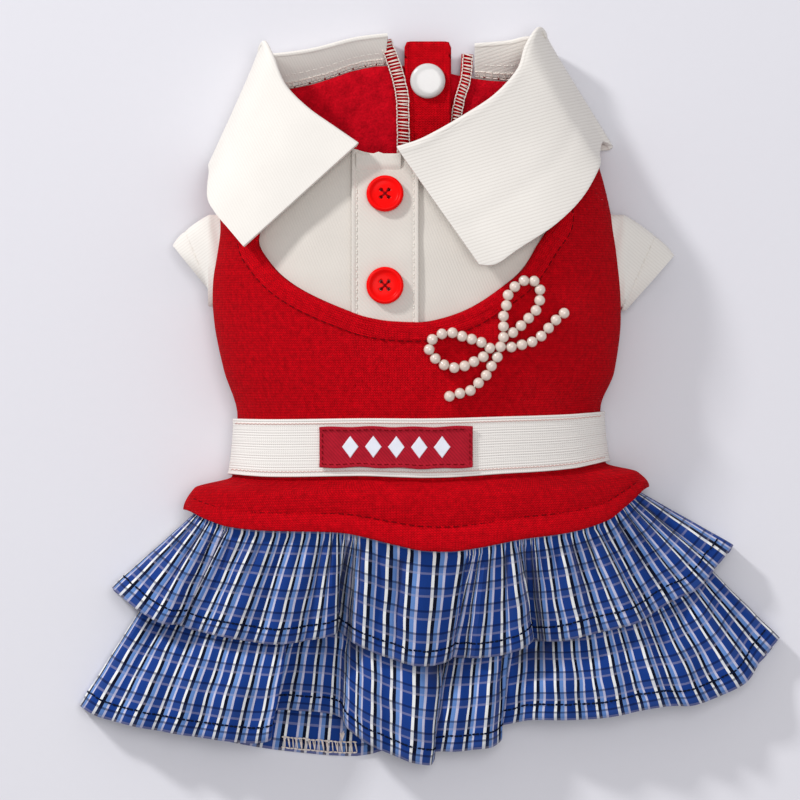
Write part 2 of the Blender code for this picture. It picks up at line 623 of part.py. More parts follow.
def collar_seam(side, across, angle):
    """Where the stand starts, just inside the neck edge."""
    edge = body_point(neck_place(side, across), side, across)
    fall = Vector((math.cos(math.radians(angle)), math.sin(math.radians(angle)), 0))
    return edge - fall * (COLLAR_WALL / 2 + 2 * GAP) - Vector((0, 0, side * KNIT_WALL / 2)), fall


def collar_section(side, across, fold_x, fold_y, rise, angle, fall_share, edge, tuck):
    """The points of one section: up the stand, over the fold and down the fall."""
    seam, fall = collar_seam(side, across, angle)
    fold = seam + Vector((fold_x * BACK_STAND_HEIGHT, fold_y * BACK_STAND_HEIGHT, rise * STAND_HEIGHT))
    edge_height = edge * CHEST_HEIGHT
    points = [seam, seam.lerp(fold, 0.5), fold - Vector((0, 0, COLLAR_WALL * 0.4))]
    for open_length, open_drop, tuck_length, tuck_drop in FALL_PROFILE:
        length = blend(open_length, tuck_length, tuck) * fall_share * FALL_LENGTH
        point = fold + fall * length
        point.z = blend(fold.z, edge_height, blend(open_drop, tuck_drop, tuck))
        if tuck < 0.5:
            point.z = max(point.z, body_top(point.x, point.y) + COLLAR_WALL + 2 * GAP)
        points.append(point)
    return points


def make_collar(name, stations, columns):
    """One half of the collar: its stand, its fold and its fall, round the neck."""
    sections = [collar_section(*station) for station in stations]
    last_row = len(sections[0]) - 1

    def place(u, v):
        return spline(sections, u * (len(sections) - 1), round(v * last_row))

    mesh = laid_grid(columns, last_row, place)
    collar = new_object(name, mesh, TWILL_WHITE)
    add_wall(collar, COLLAR_WALL, inward=False)
    return collar


def spline(sections, index, row):
    """A point of a row between two sections, on a smooth curve through the sections."""
    low = min(int(index), len(sections) - 2)
    t = index - low
    points = [sections[max(0, min(len(sections) - 1, low + step))][row] for step in (-1, 0, 1, 2)]
    before, start, end, after = points
    return 0.5 * (2 * start + (end - before) * t + (2 * before - 5 * start + 4 * end - after) * t ** 2
                  + (3 * start - before - 3 * end + after) * t ** 3)


def make_elastic():
    """The elastic round the waist, outside the knit."""

    def place(u, v):
        side, across = pick(BODY_COLUMNS, u)
        along = blend(WAIST_PLACE - 2 * GAP, BAND_PLACE + 2 * GAP, 1 - v)
        return body_point(along, side, across, GAP + ELASTIC_WALL)

    elastic = new_object("waist_elastic", laid_grid(len(BODY_COLUMNS) - 1, 2, place), TWILL_WHITE)
    add_wall(elastic, ELASTIC_WALL)
    return elastic


def make_label():
    """The woven label on the front of the elastic."""

    def place(u, v):
        x = LABEL_PLACE + LABEL_LENGTH * (u - 0.5)
        along = (WAIST_PLACE + BAND_PLACE) / 2 + LABEL_WIDTH * (v - 0.5)
        return body_point(along, FRONT, strip_across(x, along), 2 * GAP + ELASTIC_WALL + LABEL_WALL)

    label = new_object("waist_label", laid_grid(8, 2, place, FAR_BELOW), LABEL_RED)
    add_wall(label, LABEL_WALL)
    return label


def make_belly_strip():
    """The strip along the belly opening, on the knit's inner face and standing past the neck edge."""
    start = NECK_BACK + BELLY_STRIP_RISE
    end = BAND_PLACE

    def place(u, v):
        along = blend(start, end, 1 - v)
        x = BELLY_STRIP_PLACE + BELLY_STRIP_WIDTH * (u - 0.5)
        bottom = read_row(BODY, along)[3]
        return Vector((x, along, bottom + KNIT_WALL + GAP + STRIP_WALL))

    strip = new_object("belly_placket", laid_grid(2, 14, place, FAR_BELOW), KNIT_RED)
    add_wall(strip, STRIP_WALL)
    hole = SNAP_POST_WIDTH / 2 + GAP
    middle = Vector((BELLY_STRIP_PLACE, SNAP_PLACE, UNDER_COLLAR))
    cut(strip, prism("strip_post_cutter", 14, hole, hole, CUTTER_DEPTH, middle))
    return strip


def turned(name, profile, middle, finish):
    """A solid turned round the upright axis through its middle."""
    mesh = bmesh.new()
    verts = [mesh.verts.new((x, 0, z)) for x, z in profile]
    closing = verts[:1] if profile[0][0] else []
    edges = [mesh.edges.new(pair) for pair in zip(verts, verts[1:] + closing)]
    bmesh.ops.spin(mesh, geom=verts + edges, cent=(0, 0, 0), axis=(0, 0, 1), angle=2 * math.pi, steps=18,
                   use_merge=True)
    bmesh.ops.remove_doubles(mesh, verts=mesh.verts, dist=MERGE)
    bmesh.ops.recalc_face_normals(mesh, faces=mesh.faces)
    bmesh.ops.translate(mesh, vec=middle, verts=mesh.verts)
    return new_object(name, mesh, finish)


def make_snap():
    """The press stud: a cap with a post through both layers, and the socket under them."""
    strip_top = UNDER_COLLAR + KNIT_WALL + GAP + STRIP_WALL
    middle = Vector((BELLY_STRIP_PLACE, SNAP_PLACE, 0))
    cap, post, low = strip_top + GAP, SNAP_POST_WIDTH / 2, GAP
    dome = [(x * SNAP_WIDTH / 2, cap + z * SNAP_THICKNESS) for x, z in CAP_PROFILE]
    turned("snap_cap", [(0, low), (post, low), (post, cap), *dome], middle, SNAP_WHITE)
    inner, outer, top = post + GAP, SNAP_SOCKET_WIDTH / 2, UNDER_COLLAR - GAP
    turned("snap_socket", [(inner, low), (outer, low), (outer, top), (inner, top)], middle, SNAP_WHITE)


def tier_stations(folds, per_row):
    """A tier's front, from left to right: hem and seam place, reach and rise, several to each fold row."""
    rows = [(index, *fold) for index, fold in enumerate(folds)]
    count = (len(rows) - 1) * per_row
    return [read_row(rows, index / per_row) for index in range(count + 1)]


def tier_grid(folds, belly_folds, per_row, rows, width, lean, length, rise, out, limit):
    """The middle of a tier's cloth, as rows of points round the skirt. The first two rows lie inside the
    turned hem band and the rest hang from it; limit(point, side) keeps a point clear of the other tier."""
    front = [(FRONT, *station) for station in tier_stations(folds, per_row)]
    belly = [(BELLY, *station) for station in belly_folds]
    grid = []
    for row in range(rows + 2):
        loop = []
        for side, hem, seam, reach, height in front + belly:
            inside = body_point(HEM_PLACE + SEAM_LAP, side, seam, out)
            edge = body_point(HEM_PLACE, side, seam, out) - Vector((0, SEAM_DROP, 0))
            end = Vector((lean + hem * width / 2, edge.y - reach * length, height * rise))
            if row < 2:
                point = edge if row else inside
            else:
                share = (row - 1) / rows
                point = edge.lerp(end, share)
                point.z = blend(edge.z, end.z, share ** (FRONT_HANG if side == FRONT else BELLY_HANG))
                point = limit(point, side, share)
            loop.append(point)
        grid.append(loop)
    return grid


def belly_line(folds, dip):
    """A tier's belly side from right to left: plain cloth, a little longer in its middle."""
    right, left = folds[-1], folds[0]
    stations = []
    for index in range(1, BELLY_COLUMNS):
        share = index / BELLY_COLUMNS
        reach = blend(right[2], left[2], share) + dip * math.sin(math.pi * share)
        across = math.cos(math.pi * share)
        across = math.copysign(abs(across) ** 0.8, across)
        stations.append((across, across, reach, None))
    return stations


UPPER_OUT = -KNIT_WALL - SEAM_ROOM - PLAID_WALL / 2
LOWER_OUT = UPPER_OUT - PLAID_WALL - 3 * GAP


def limit_surface(grid, first, last):
    """A tier's cloth between two columns, stretched a little past its hem, to measure clearance from."""
    loops = [loop[first:last] for loop in grid]
    pairs = zip(loops[-2], loops[-1])
    loops.append([end + (end - before).normalized() * TIER_MARGIN for before, end in pairs])
    count = last - first
    verts = [point for loop in loops for point in loop]
    faces = [(row * count + i, row * count + i + 1, (row + 1) * count + i + 1, (row + 1) * count + i)
             for row in range(len(loops) - 1) for i in range(count - 1)]
    return BVHTree.FromPolygons(verts, faces)


def heights_near(cloth, point):
    """The heights of a cloth over a point and close round it."""
    heights = []
    for step_x, step_y in ((0, 0), (1, 0), (-1, 0), (0, 1), (0, -1)):
        start = Vector((point.x, point.y, 1.0)) + Vector((step_x, step_y, 0)) * TIER_CLEARANCE_REACH
        hit = cloth.ray_cast(start, Vector((0, 0, -1)))[0]
        if hit:
            heights.append(hit.z)
    return heights


def make_tier(name, grid):
    """A closed ring of plaid cloth from its grid of points."""
    rows, columns = len(grid) - 1, len(grid[0])

    def place(u, v):
        return grid[round((1 - v) * rows)][round(u * columns) % columns]

    tier = new_object(name, laid_grid(columns, rows, place), PLAID_BLUE)
    add_wall(tier, PLAID_WALL, inward=False)
    return tier


def make_skirt():
    """The two tiers: the upper one outside, the lower one inside it and longer."""
    floor = PLAID_WALL / 2

    def upper_limit(point, side, share):
        if side == BELLY:
            point.z = max(floor, point.z)
        return point

    belly = [(*row[:3], 0.0) for row in belly_line(UPPER_FOLDS, UPPER_BELLY_DIP)]
    upper = tier_grid(UPPER_FOLDS, belly, 2, 4, UPPER_TIER_WIDTH, UPPER_TIER_LEAN, UPPER_TIER_LENGTH,
                      UPPER_TIER_RISE, UPPER_OUT, upper_limit)
    front_count = 2 * (len(UPPER_FOLDS) - 1) + 1
    over = limit_surface(upper, 0, front_count)
    under = limit_surface(upper, front_count - 1, len(upper[0]))

    def lower_limit(point, side, share):
        if side == FRONT:
            space = blend(PLAID_WALL + 3 * GAP, TIER_SPACE, min(1.0, 5 * share))
            lowest = floor + 2 * PLAID_WALL + 3 * GAP
            point.z = max(lowest, min([point.z] + [height - space for height in heights_near(over, point)]))
        else:
            point.z = max([floor] + [height + PLAID_WALL + GAP for height in heights_near(under, point)])
        return point

    belly = [(*row[:3], 0.0) for row in belly_line(LOWER_FOLDS, LOWER_BELLY_DIP)]
    lower = tier_grid(LOWER_FOLDS, belly, 2, 5, LOWER_TIER_WIDTH, LOWER_TIER_LEAN, LOWER_TIER_LENGTH,
                      LOWER_TIER_RISE, LOWER_OUT, lower_limit)
    make_tier("ruffle_upper", upper)
    make_tier("ruffle_lower", lower)


def bead_point(step):
    """The middle of a bead, lying on the knit."""
    x, along = BOW_PLACE[0] + step[0] * 0.001, BOW_PLACE[1] + step[1] * 0.001
    return body_point(along, FRONT, strip_across(x, along), GAP + BEAD_WIDTH / 2)


def bead_string(name, steps):
    """A string of touching beads: a tube that swells to each bead and narrows to the thread between."""
    half, neck = BEAD_WIDTH / 2, BEAD_THREAD_WIDTH / BEAD_WIDTH
    middles = [bead_point(step) for step in steps if step]
    ends_free = steps[-1] is None
    beads = range(1, len(middles) if ends_free else len(middles) - 1)
    path = [(middles[0], neck)]
    for index in beads:
        middle = middles[index]
        to_back = (middles[index - 1] - middle) / 2
        to_ahead = (middles[index + 1] - middle) / 2 if index + 1 < len(middles) else -to_back
        path.append((middle + to_back, neck))
        path.append((middle + to_back.normalized() * half * BEAD_SHOULDER[0], BEAD_SHOULDER[1]))
        path.append((middle, 1.0))
        path.append((middle + to_ahead.normalized() * half * BEAD_SHOULDER[0], BEAD_SHOULDER[1]))
    path.append((middle + to_ahead, neck))
    if not ends_free:
        path.append((middles[-1], neck))
    curve = bpy.data.curves.new(name, "CURVE")
    curve.dimensions = "3D"
    curve.bevel_depth = half
    curve.bevel_resolution = 2
    curve.use_fill_caps = True
    line = curve.splines.new("POLY")
    line.points.add(len(path) - 1)
    for point, (place, radius) in zip(line.points, path):
        point.co = (*place, 1.0)
        point.radius = radius
    tube = bpy.data.objects.new(name + "_curve", curve)
    bpy.context.scene.collection.objects.link(tube)
    solid = bpy.data.meshes.new_from_object(tube.evaluated_get(bpy.context.evaluated_depsgraph_get()))
    bpy.data.objects.remove(tube)
    string = bpy.data.objects.new(name, solid)
    bpy.context.scene.collection.objects.link(string)
    return string


def make_bow():
    """The bow: its middle bead fused with its loops and tails, one body."""
    mesh = bmesh.new()
    bmesh.ops.create_uvsphere(mesh, u_segments=12, v_segments=7, radius=BEAD_WIDTH / 2)
    bmesh.ops.translate(mesh, vec=bead_point((0, 0)), verts=mesh.verts)
    bow = new_object("pearl_bow", mesh, PEARL_IVORY)
    for name, steps in BOW_STRINGS.items():
        string = bead_string("string_" + name, steps)
        string.hide_render = True
        string.display_type = "WIRE"
        fuse = bow.modifiers.new("Fuse " + name, "BOOLEAN")
        fuse.operation = "UNION"
        fuse.solver = "EXACT"
        fuse.object = string


def make_dress():
    """Every piece of the dress."""
    make_bodice()
    make_yoke()
    make_front_strip()
    top_button = NECK_FRONT - BUTTON_DROP
    make_button("button_upper", top_button)
    make_button("button_lower", top_button - BUTTON_PITCH)
    make_collar("collar_left", COLLAR_LEFT, 15)
    make_collar("collar_right", COLLAR_RIGHT, 16)
    make_sleeve("left", -1)
    make_sleeve("right", 1)
    make_elastic()
    make_label()
    make_belly_strip()
    make_snap()
    make_skirt()
    make_bow()


make_dress()
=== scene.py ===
"""How a small dog's dress looks, lying on a pale floor with its decorated side up.

Each cloth piece is laid again on the same lines as the part's own source, on a finer grid, with its edges
rolled and its stitches, ribs and gathers shown. The patterns of the knit, the plaid, the elastic and the
label follow the cloth; the twill's ribs are read from the place in the object.
"""
import math

import bmesh
import bpy
from mathutils import Matrix, Vector, noise
from mathutils.bvhtree import BVHTree


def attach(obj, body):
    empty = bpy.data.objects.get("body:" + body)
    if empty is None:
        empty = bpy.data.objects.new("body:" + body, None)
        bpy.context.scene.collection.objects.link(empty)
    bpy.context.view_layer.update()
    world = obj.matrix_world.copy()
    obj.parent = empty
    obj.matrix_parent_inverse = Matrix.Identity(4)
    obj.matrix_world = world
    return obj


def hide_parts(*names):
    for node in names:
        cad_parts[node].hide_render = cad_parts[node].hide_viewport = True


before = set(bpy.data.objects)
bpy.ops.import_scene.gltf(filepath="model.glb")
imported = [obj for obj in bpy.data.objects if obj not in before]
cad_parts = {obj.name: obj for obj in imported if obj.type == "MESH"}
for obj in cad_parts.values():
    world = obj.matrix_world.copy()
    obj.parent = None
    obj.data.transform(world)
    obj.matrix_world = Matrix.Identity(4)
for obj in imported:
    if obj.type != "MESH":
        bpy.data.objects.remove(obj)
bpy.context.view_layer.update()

# Sizes in metres, as in the part's source
GAP = 0.0004
MERGE = 0.000001
KNIT_WALL, TWILL_WALL, COLLAR_WALL = 0.0016, 0.0010, 0.0016
PLAID_WALL, ELASTIC_WALL, LABEL_WALL, STRIP_WALL = 0.0010, 0.0012, 0.0009, 0.0012
NECK_PLACE, NECK_TO_WAIST, ELASTIC_WIDTH, HEM_BAND_DEPTH = 0.120, 0.125, 0.020, 0.010
NECK_WIDTH, CHEST_WIDTH, WAIST_WIDTH, HEM_WIDTH = 0.093, 0.144, 0.1284, 0.164
NECK_HEIGHT, CHEST_HEIGHT, WAIST_HEIGHT, HEM_HEIGHT = 0.018, 0.0385, 0.0350, 0.0370
SIDE_HEIGHT, BODY_LEAN, FRONT_FULLNESS, BACK_FULLNESS = 0.0095, -0.0046, 2.4, 5.0
HEM_BOW, HEM_SLANT = 0.018, 0.004
SCOOP_DEPTH, SCOOP_RISE, YOKE_LAP = 0.034, 0.0605, 0.006
NECK_FRONT, NECK_FRONT_RISE, NECK_BACK, NECK_BACK_DROP = 0.0855, 0.034, 0.1175, 0.009
FRONT_STRIP_WIDTH, FRONT_STRIP_PLACE = 0.0236, -0.0155
BUTTON_WIDTH, BUTTON_THICKNESS, BUTTON_PITCH, BUTTON_DROP = 0.013, 0.0026, 0.0318, 0.0145
BUTTON_HOLE_WIDTH, BUTTON_HOLE_PITCH = 0.0013, 0.0026
STAND_HEIGHT, BACK_STAND_HEIGHT, FALL_LENGTH = 0.0075, 0.0095, 0.050
ARMHOLE_LENGTH, SLEEVE_HEIGHT, SLEEVE_HEM_WIDTH, SLEEVE_HEM_HEIGHT = 0.033, 0.0125, 0.0275, 0.0090
SLEEVE_PLACE, SLEEVE_INSET = 0.0485, 0.004
LABEL_LENGTH, LABEL_WIDTH, LABEL_PLACE = 0.0526, 0.0132, -0.0115
BELLY_STRIP_WIDTH, BELLY_STRIP_PLACE, BELLY_STRIP_RISE = 0.0165, -0.0005, 0.0085
SNAP_WIDTH, SNAP_THICKNESS, SNAP_DROP = 0.0124, 0.0020, 0.014
SNAP_POST_WIDTH, SNAP_SOCKET_WIDTH = 0.0034, 0.009
SEAM_LAP, SEAM_ROOM, SEAM_DROP = 0.0035, 0.0018, 0.0020
UPPER_TIER_LENGTH, UPPER_TIER_WIDTH, UPPER_TIER_LEAN, UPPER_TIER_RISE = 0.038, 0.219, -0.0024, 0.024
LOWER_TIER_LENGTH, LOWER_TIER_WIDTH, LOWER_TIER_LEAN, LOWER_TIER_RISE = 0.075, 0.2465, 0.0, 0.017
TIER_SPACE, TIER_CLEARANCE_REACH, TIER_MARGIN = 0.0028, 0.002, 0.003
FRONT_HANG, BELLY_HANG, UPPER_BELLY_DIP, LOWER_BELLY_DIP = 1.3, 0.8, 0.35, 0.13
BEAD_WIDTH, BEAD_THREAD_WIDTH = 0.0038, 0.0006
BOW_SIDE, BOW_RISE = 0.0243, 0.0230
BAND_STITCH_SHARE, SLEEVE_STITCH_SHARE, ELASTIC_STITCH_SHARE = 0.64, 0.66, 0.085
TIER_HEM = 0.0058
FRONT_STAND_SPAN, FRONT_STAND_DEPTH = (-0.0258, -0.0098), 0.0070
ELASTIC_RIBS, ELASTIC_RIB_DEPTH = 20, 0.00013
LOZENGES, LOZENGE_SPAN, LOZENGE_SHAPE = 5, (0.20, 0.80), (0.0030, 0.0040, 0.00035)
EDGE_ROLL, COLLAR_EDGE_ROLL = 0.0003, 0.00055
# The tiers' small gathers at the seam, the broader waves down to the hem, and the sag between folds
GATHER_PITCH, GATHER_RISE, GATHER_REACH = 0.0088, 0.0028, 0.026
WAVE_PITCH, WAVE_RISE, FOLD_SAG = 0.0165, 0.0016, 0.0075

# Each row of stitches: its stitch, the gap after it, its thread's thickness and how far it wanders
SCOOP_STITCH = (0.0020, 0.0011, 0.00045)
BAND_STITCH = (0.0020, 0.0011, 0.00048)
STRIP_STITCH = (0.0018, 0.0009, 0.00042)
STAND_STITCH = (0.0016, 0.0009, 0.00035)
SLEEVE_STITCH = (0.0018, 0.0008, 0.0003)
LABEL_STITCH = (0.0016, 0.0008, 0.0004)
LABEL_END_STITCH = (0.0012, 0.0008, 0.0004)
TIER_STITCH = (0.0030, 0.0003, 0.00078, 0.0003)
# Each serged edge: its pitch and its thread's thickness
STAND_SERGE, BELLY_SERGE, TIER_SERGE = (0.0013, 0.00042), (0.0012, 0.00042), (0.0015, 0.0005)

WAIST_PLACE = NECK_PLACE - NECK_TO_WAIST
BOW_PLACE = (BOW_SIDE, WAIST_PLACE + BOW_RISE)
BAND_PLACE = WAIST_PLACE - ELASTIC_WIDTH
HEM_PLACE = BAND_PLACE - HEM_BAND_DEPTH
SNAP_PLACE = NECK_BACK + BELLY_STRIP_RISE - SNAP_DROP
UNDER_COLLAR = COLLAR_WALL + 2 * GAP
UNDER_ELASTIC = ELASTIC_WALL + GAP
YOKE_FACE = -KNIT_WALL - 2 * GAP
STRIP_FACE = YOKE_FACE + GAP + TWILL_WALL
UPPER_OUT = -KNIT_WALL - SEAM_ROOM - PLAID_WALL / 2
LOWER_OUT = UPPER_OUT - PLAID_WALL - 3 * GAP
FRONT, BELLY = 1, -1
UP = Vector((0, 0, 1))

UPPER_PART = (NECK_PLACE, NECK_TO_WAIST)
WAIST_PART = (WAIST_PLACE, ELASTIC_WIDTH)
BAND_PART = (BAND_PLACE, HEM_BAND_DEPTH)
BODY_SECTIONS = (
    # part, share, width, left, right, height, rise, under, bow, slant
    (UPPER_PART, 0.00, NECK_WIDTH, 1.12, 0.88, NECK_HEIGHT, 1.00, UNDER_COLLAR, 0.00, 0.0),
    (UPPER_PART, 0.10, CHEST_WIDTH, 0.80, 0.71, CHEST_HEIGHT, 0.60, UNDER_COLLAR, 0.00, 0.0),
    (UPPER_PART, 0.20, CHEST_WIDTH, 0.88, 0.82, CHEST_HEIGHT, 0.72, UNDER_COLLAR, 0.00, 0.0),
    (UPPER_PART, 0.34, CHEST_WIDTH, 0.97, 0.91, CHEST_HEIGHT, 0.84, UNDER_COLLAR, 0.00, 0.0),
    (UPPER_PART, 0.47, CHEST_WIDTH, 0.96, 0.96, CHEST_HEIGHT, 0.93, 0.0, 0.00, 0.0),
    (UPPER_PART, 0.63, CHEST_WIDTH, 1.00, 1.00, CHEST_HEIGHT, 0.99, 0.0, 0.00, 0.0),
    (UPPER_PART, 0.73, CHEST_WIDTH, 0.99, 1.00, CHEST_HEIGHT, 1.00, 0.0, 0.00, 0.0),
    (UPPER_PART, 0.88, CHEST_WIDTH, 0.94, 0.97, CHEST_HEIGHT, 0.97, 0.0, 0.00, 0.0),
    (WAIST_PART, 0.00, WAIST_WIDTH, 0.98, 1.01, WAIST_HEIGHT, 1.00, UNDER_ELASTIC, 0.06, 0.3),
    (WAIST_PART, 1.00, WAIST_WIDTH, 1.01, 1.04, WAIST_HEIGHT, 1.00, UNDER_ELASTIC, 0.20, 0.6),
    (BAND_PART, 0.35, HEM_WIDTH, 0.95, 0.95, HEM_HEIGHT, 1.00, 0.0, 0.42, 0.7),
    (BAND_PART, 1.00, HEM_WIDTH, 1.00, 1.00, HEM_HEIGHT, 1.00, 0.0, 1.00, 1.0),
)
HEM_LINE = (
    # across, drop
    (-1.00, 0.00), (-0.90, 0.19), (-0.80, 0.36), (-0.66, 0.46), (-0.33, 0.57), (-0.09, 0.86), (0.03, 1.00),
    (0.15, 1.04), (0.27, 0.99), (0.45, 0.87), (0.63, 0.80), (0.81, 0.60), (0.91, 0.28), (1.00, 0.00),
)
SCOOP_LINE = (
    # across, rise
    (-0.80, 0.77), (-0.70, 0.56), (-0.60, 0.39), (-0.49, 0.26), (-0.36, 0.14), (-0.24, 0.05), (-0.12, 0.01),
    (0.02, 0.00), (0.10, 0.03), (0.22, 0.11), (0.32, 0.22), (0.42, 0.37), (0.52, 0.54), (0.60, 0.80),
    (0.70, 1.00),
)
NECK_LINE = (
    # across, rise
    (-1.00, 0.90), (-0.81, 0.66), (-0.63, 0.42), (-0.45, 0.22), (-0.30, 0.05), (-0.18, 0.00), (-0.05, 0.00),
    (0.05, 0.06), (0.15, 0.15), (0.33, 0.33), (0.56, 0.55), (0.83, 0.82), (1.00, 0.97),
)
NECK_BACK_LINE = (
    # across, drop
    (-1.00, 0.60), (-0.85, 0.95), (-0.67, 0.79), (-0.50, 0.48), (-0.33, 0.17), (-0.12, 0.00), (0.10, 0.00),
    (0.47, 0.48), (0.63, 0.60), (0.78, 0.62), (1.00, 0.30),
)
COLLAR_LEFT = (
    # side, across, fold x, fold y, rise, angle, fall, edge, tuck
    (BELLY, -0.12, 0.10, 0.90, 0.75, 270, 0.76, 0.030, 1.0),
    (BELLY, -0.33, -0.10, 0.90, 0.75, 268, 0.76, 0.030, 1.0),
    (BELLY, -0.60, -0.35, 0.95, 0.80, 262, 0.76, 0.030, 1.0),
    (BELLY, -0.85, -0.55, 1.05, 0.90, 254, 0.80, 0.030, 1.0),
    (FRONT, -1.00, -0.10, 0.75, 1.05, 246, 0.92, 0.16, 0.5),
    (FRONT, -0.96, 0.00, 0.30, 1.25, 242, 0.92, 0.40, 0.0),
    (FRONT, -0.81, 0.00, 0.00, 1.20, 236, 0.94, 0.63, 0.0),
    (FRONT, -0.63, 0.00, 0.00, 1.10, 229, 0.96, 0.76, 0.0),
    (FRONT, -0.45, 0.00, 0.00, 1.05, 225, 1.01, 0.86, 0.0),
    (FRONT, -0.30, 0.00, 0.00, 1.05, 222, 1.06, 0.92, 0.0),
)
COLLAR_RIGHT = (
    # side, across, fold x, fold y, rise, angle, fall, edge, tuck
    (FRONT, -0.05, 0.00, 0.00, 1.05, 305, 0.99, 1.10, 0.0),
    (FRONT, 0.05, 0.00, 0.00, 1.05, 303, 1.01, 1.09, 0.0),
    (FRONT, 0.15, 0.00, 0.00, 1.05, 306, 0.99, 1.07, 0.0),
    (FRONT, 0.33, 0.00, 0.00, 1.05, 310, 0.98, 0.97, 0.0),
    (FRONT, 0.56, 0.00, 0.00, 1.10, 310, 0.93, 0.82, 0.0),
    (FRONT, 0.83, 0.00, 0.00, 1.20, 309, 0.88, 0.62, 0.0),
    (FRONT, 0.96, 0.00, 0.40, 1.25, 304, 0.90, 0.40, 0.0),
    (FRONT, 1.00, 0.25, 1.00, 1.05, 300, 0.90, 0.16, 0.5),
    (BELLY, 0.97, 0.35, 1.10, 1.00, 301, 0.90, 0.035, 0.9),
    (BELLY, 0.86, 0.00, 1.25, 0.90, 286, 0.80, 0.030, 1.0),
    (BELLY, 0.72, 0.00, 1.20, 0.80, 280, 0.76, 0.030, 1.0),
    (BELLY, 0.50, 0.00, 1.00, 0.75, 272, 0.74, 0.030, 1.0),
)
FALL_PROFILE = (
    # open length, open drop, tucked length, tucked drop
    (0.02, -0.02, 0.00, 0.10),
    (0.09, -0.05, 0.00, 0.55),
    (0.34, 0.12, 0.10, 0.97),
    (0.67, 0.52, 0.50, 1.00),
    (1.00, 1.00, 1.00, 1.00),
)
# The tiers' hems, with each deep fold turned under the crest beside it: the place across the hem, the place
# across the gathered seam, the reach and the rise
UPPER_FOLDS = (
    # hem, seam, reach, rise
    (-1.00, -1.00, 0.68, 0.25), (-0.91, -0.94, 0.84, 0.66), (-0.83, -0.89, 0.91, 0.66),
    (-0.775, -0.845, 0.87, 0.60), (-0.835, -0.84, 0.83, 0.26), (-0.77, -0.82, 0.89, 0.42),
    (-0.64, -0.66, 0.93, 0.84), (-0.48, -0.50, 0.99, 0.92), (-0.36, -0.38, 0.95, 0.88),
    (-0.275, -0.33, 0.87, 0.84), (-0.300, -0.29, 0.78, 0.14), (-0.245, -0.265, 0.90, 0.18),
    (-0.222, -0.25, 0.94, 0.72), (-0.14, -0.14, 0.99, 0.96), (-0.02, 0.03, 1.01, 1.00),
    (0.06, 0.17, 0.99, 0.90), (0.092, 0.225, 0.96, 0.60), (0.05, 0.23, 0.94, 0.34),
    (0.12, 0.26, 0.97, 0.70), (0.23, 0.35, 0.99, 1.00), (0.32, 0.41, 0.94, 0.92), (0.352, 0.445, 0.88, 0.80),
    (0.330, 0.46, 0.84, 0.14), (0.372, 0.49, 0.91, 0.40), (0.44, 0.55, 0.92, 0.92), (0.54, 0.65, 0.89, 0.96),
    (0.70, 0.78, 0.85, 0.88), (0.76, 0.85, 0.82, 0.60), (0.87, 0.92, 0.78, 0.74), (0.96, 0.97, 0.61, 0.50),
    (1.00, 1.00, 0.50, 0.25),
)
LOWER_FOLDS = (
    # hem, seam, reach, rise
    (-1.00, -1.00, 0.90, 0.20), (-0.94, -0.94, 0.93, 0.60), (-0.80, -0.82, 0.93, 0.84),
    (-0.64, -0.66, 0.95, 0.94), (-0.51, -0.52, 0.97, 0.94), (-0.455, -0.48, 0.95, 0.86),
    (-0.49, -0.44, 0.84, 0.20), (-0.40, -0.41, 0.82, 0.19), (-0.31, -0.35, 0.83, 0.20),
    (-0.25, -0.30, 0.85, 0.26), (-0.225, -0.27, 0.90, 0.70), (-0.13, -0.14, 0.96, 0.88),
    (-0.05, 0.01, 0.97, 0.94), (0.00, 0.14, 0.98, 0.84), (0.012, 0.18, 0.96, 0.50),
    (-0.012, 0.20, 0.94, 0.34), (0.03, 0.24, 0.93, 0.74), (0.10, 0.31, 0.94, 0.94),
    (0.17, 0.38, 0.94, 0.88), (0.205, 0.425, 0.91, 0.50), (0.18, 0.44, 0.88, 0.26),
    (0.225, 0.47, 0.85, 0.66), (0.30, 0.55, 0.84, 0.90),
    (0.49, 0.70, 0.86, 1.00), (0.65, 0.81, 0.85, 1.00), (0.77, 0.88, 0.89, 0.84), (0.90, 0.94, 0.85, 0.64),
    (0.95, 0.97, 0.77, 0.50), (1.00, 1.00, 0.69, 0.20),
)
# The bow's strings of beads, in millimetres from its middle bead
BOW_STRINGS = (
    ((0, 0), (1.0, 3.3), (1.0, 7.0), (1.0, 10.6), (2.0, 14.3), (2.6, 17.9), (4.9, 20.8), (8.0, 22.9),
     (11.5, 22.8), (13.5, 19.8), (13.4, 16.1), (12.1, 12.6), (9.6, 9.9), (7.0, 7.3), (4.2, 4.9)),
    ((0, 0), (-3.7, -0.5), (-6.6, 1.5), (-9.9, 2.6), (-13.2, 3.6), (-16.5, 4.8), (-20.1, 4.4), (-23.4, 2.5),
     (-24.5, -1.0), (-22.4, -4.1), (-19.4, -6.3), (-15.9, -7.3), (-12.3, -6.7), (-9.1, -5.2), (-5.9, -3.5)),
    ((0, 0), (3.7, -0.1), (7.3, 0.7), (10.8, 1.7), (13.9, 3.7), (16.4, 6.5), (18.9, 9.3), (21.7, 11.7)),
    ((0, 0), (-1.1, -3.6), (-3.1, -6.7), (-4.9, -9.9), (-7.5, -12.5), (-10.3, -15.0), (-13.9, -15.9),
     (-17.5, -16.8)),
)
BELLY_HEM = (
    # share from right to left, reach
    (0.00, 0.69), (0.15, 0.84), (0.38, 1.03), (0.45, 1.02), (0.50, 1.10), (0.543, 1.18), (0.60, 1.15),
    (0.68, 1.08), (0.75, 0.99), (0.85, 0.93), (1.00, 0.90),
)
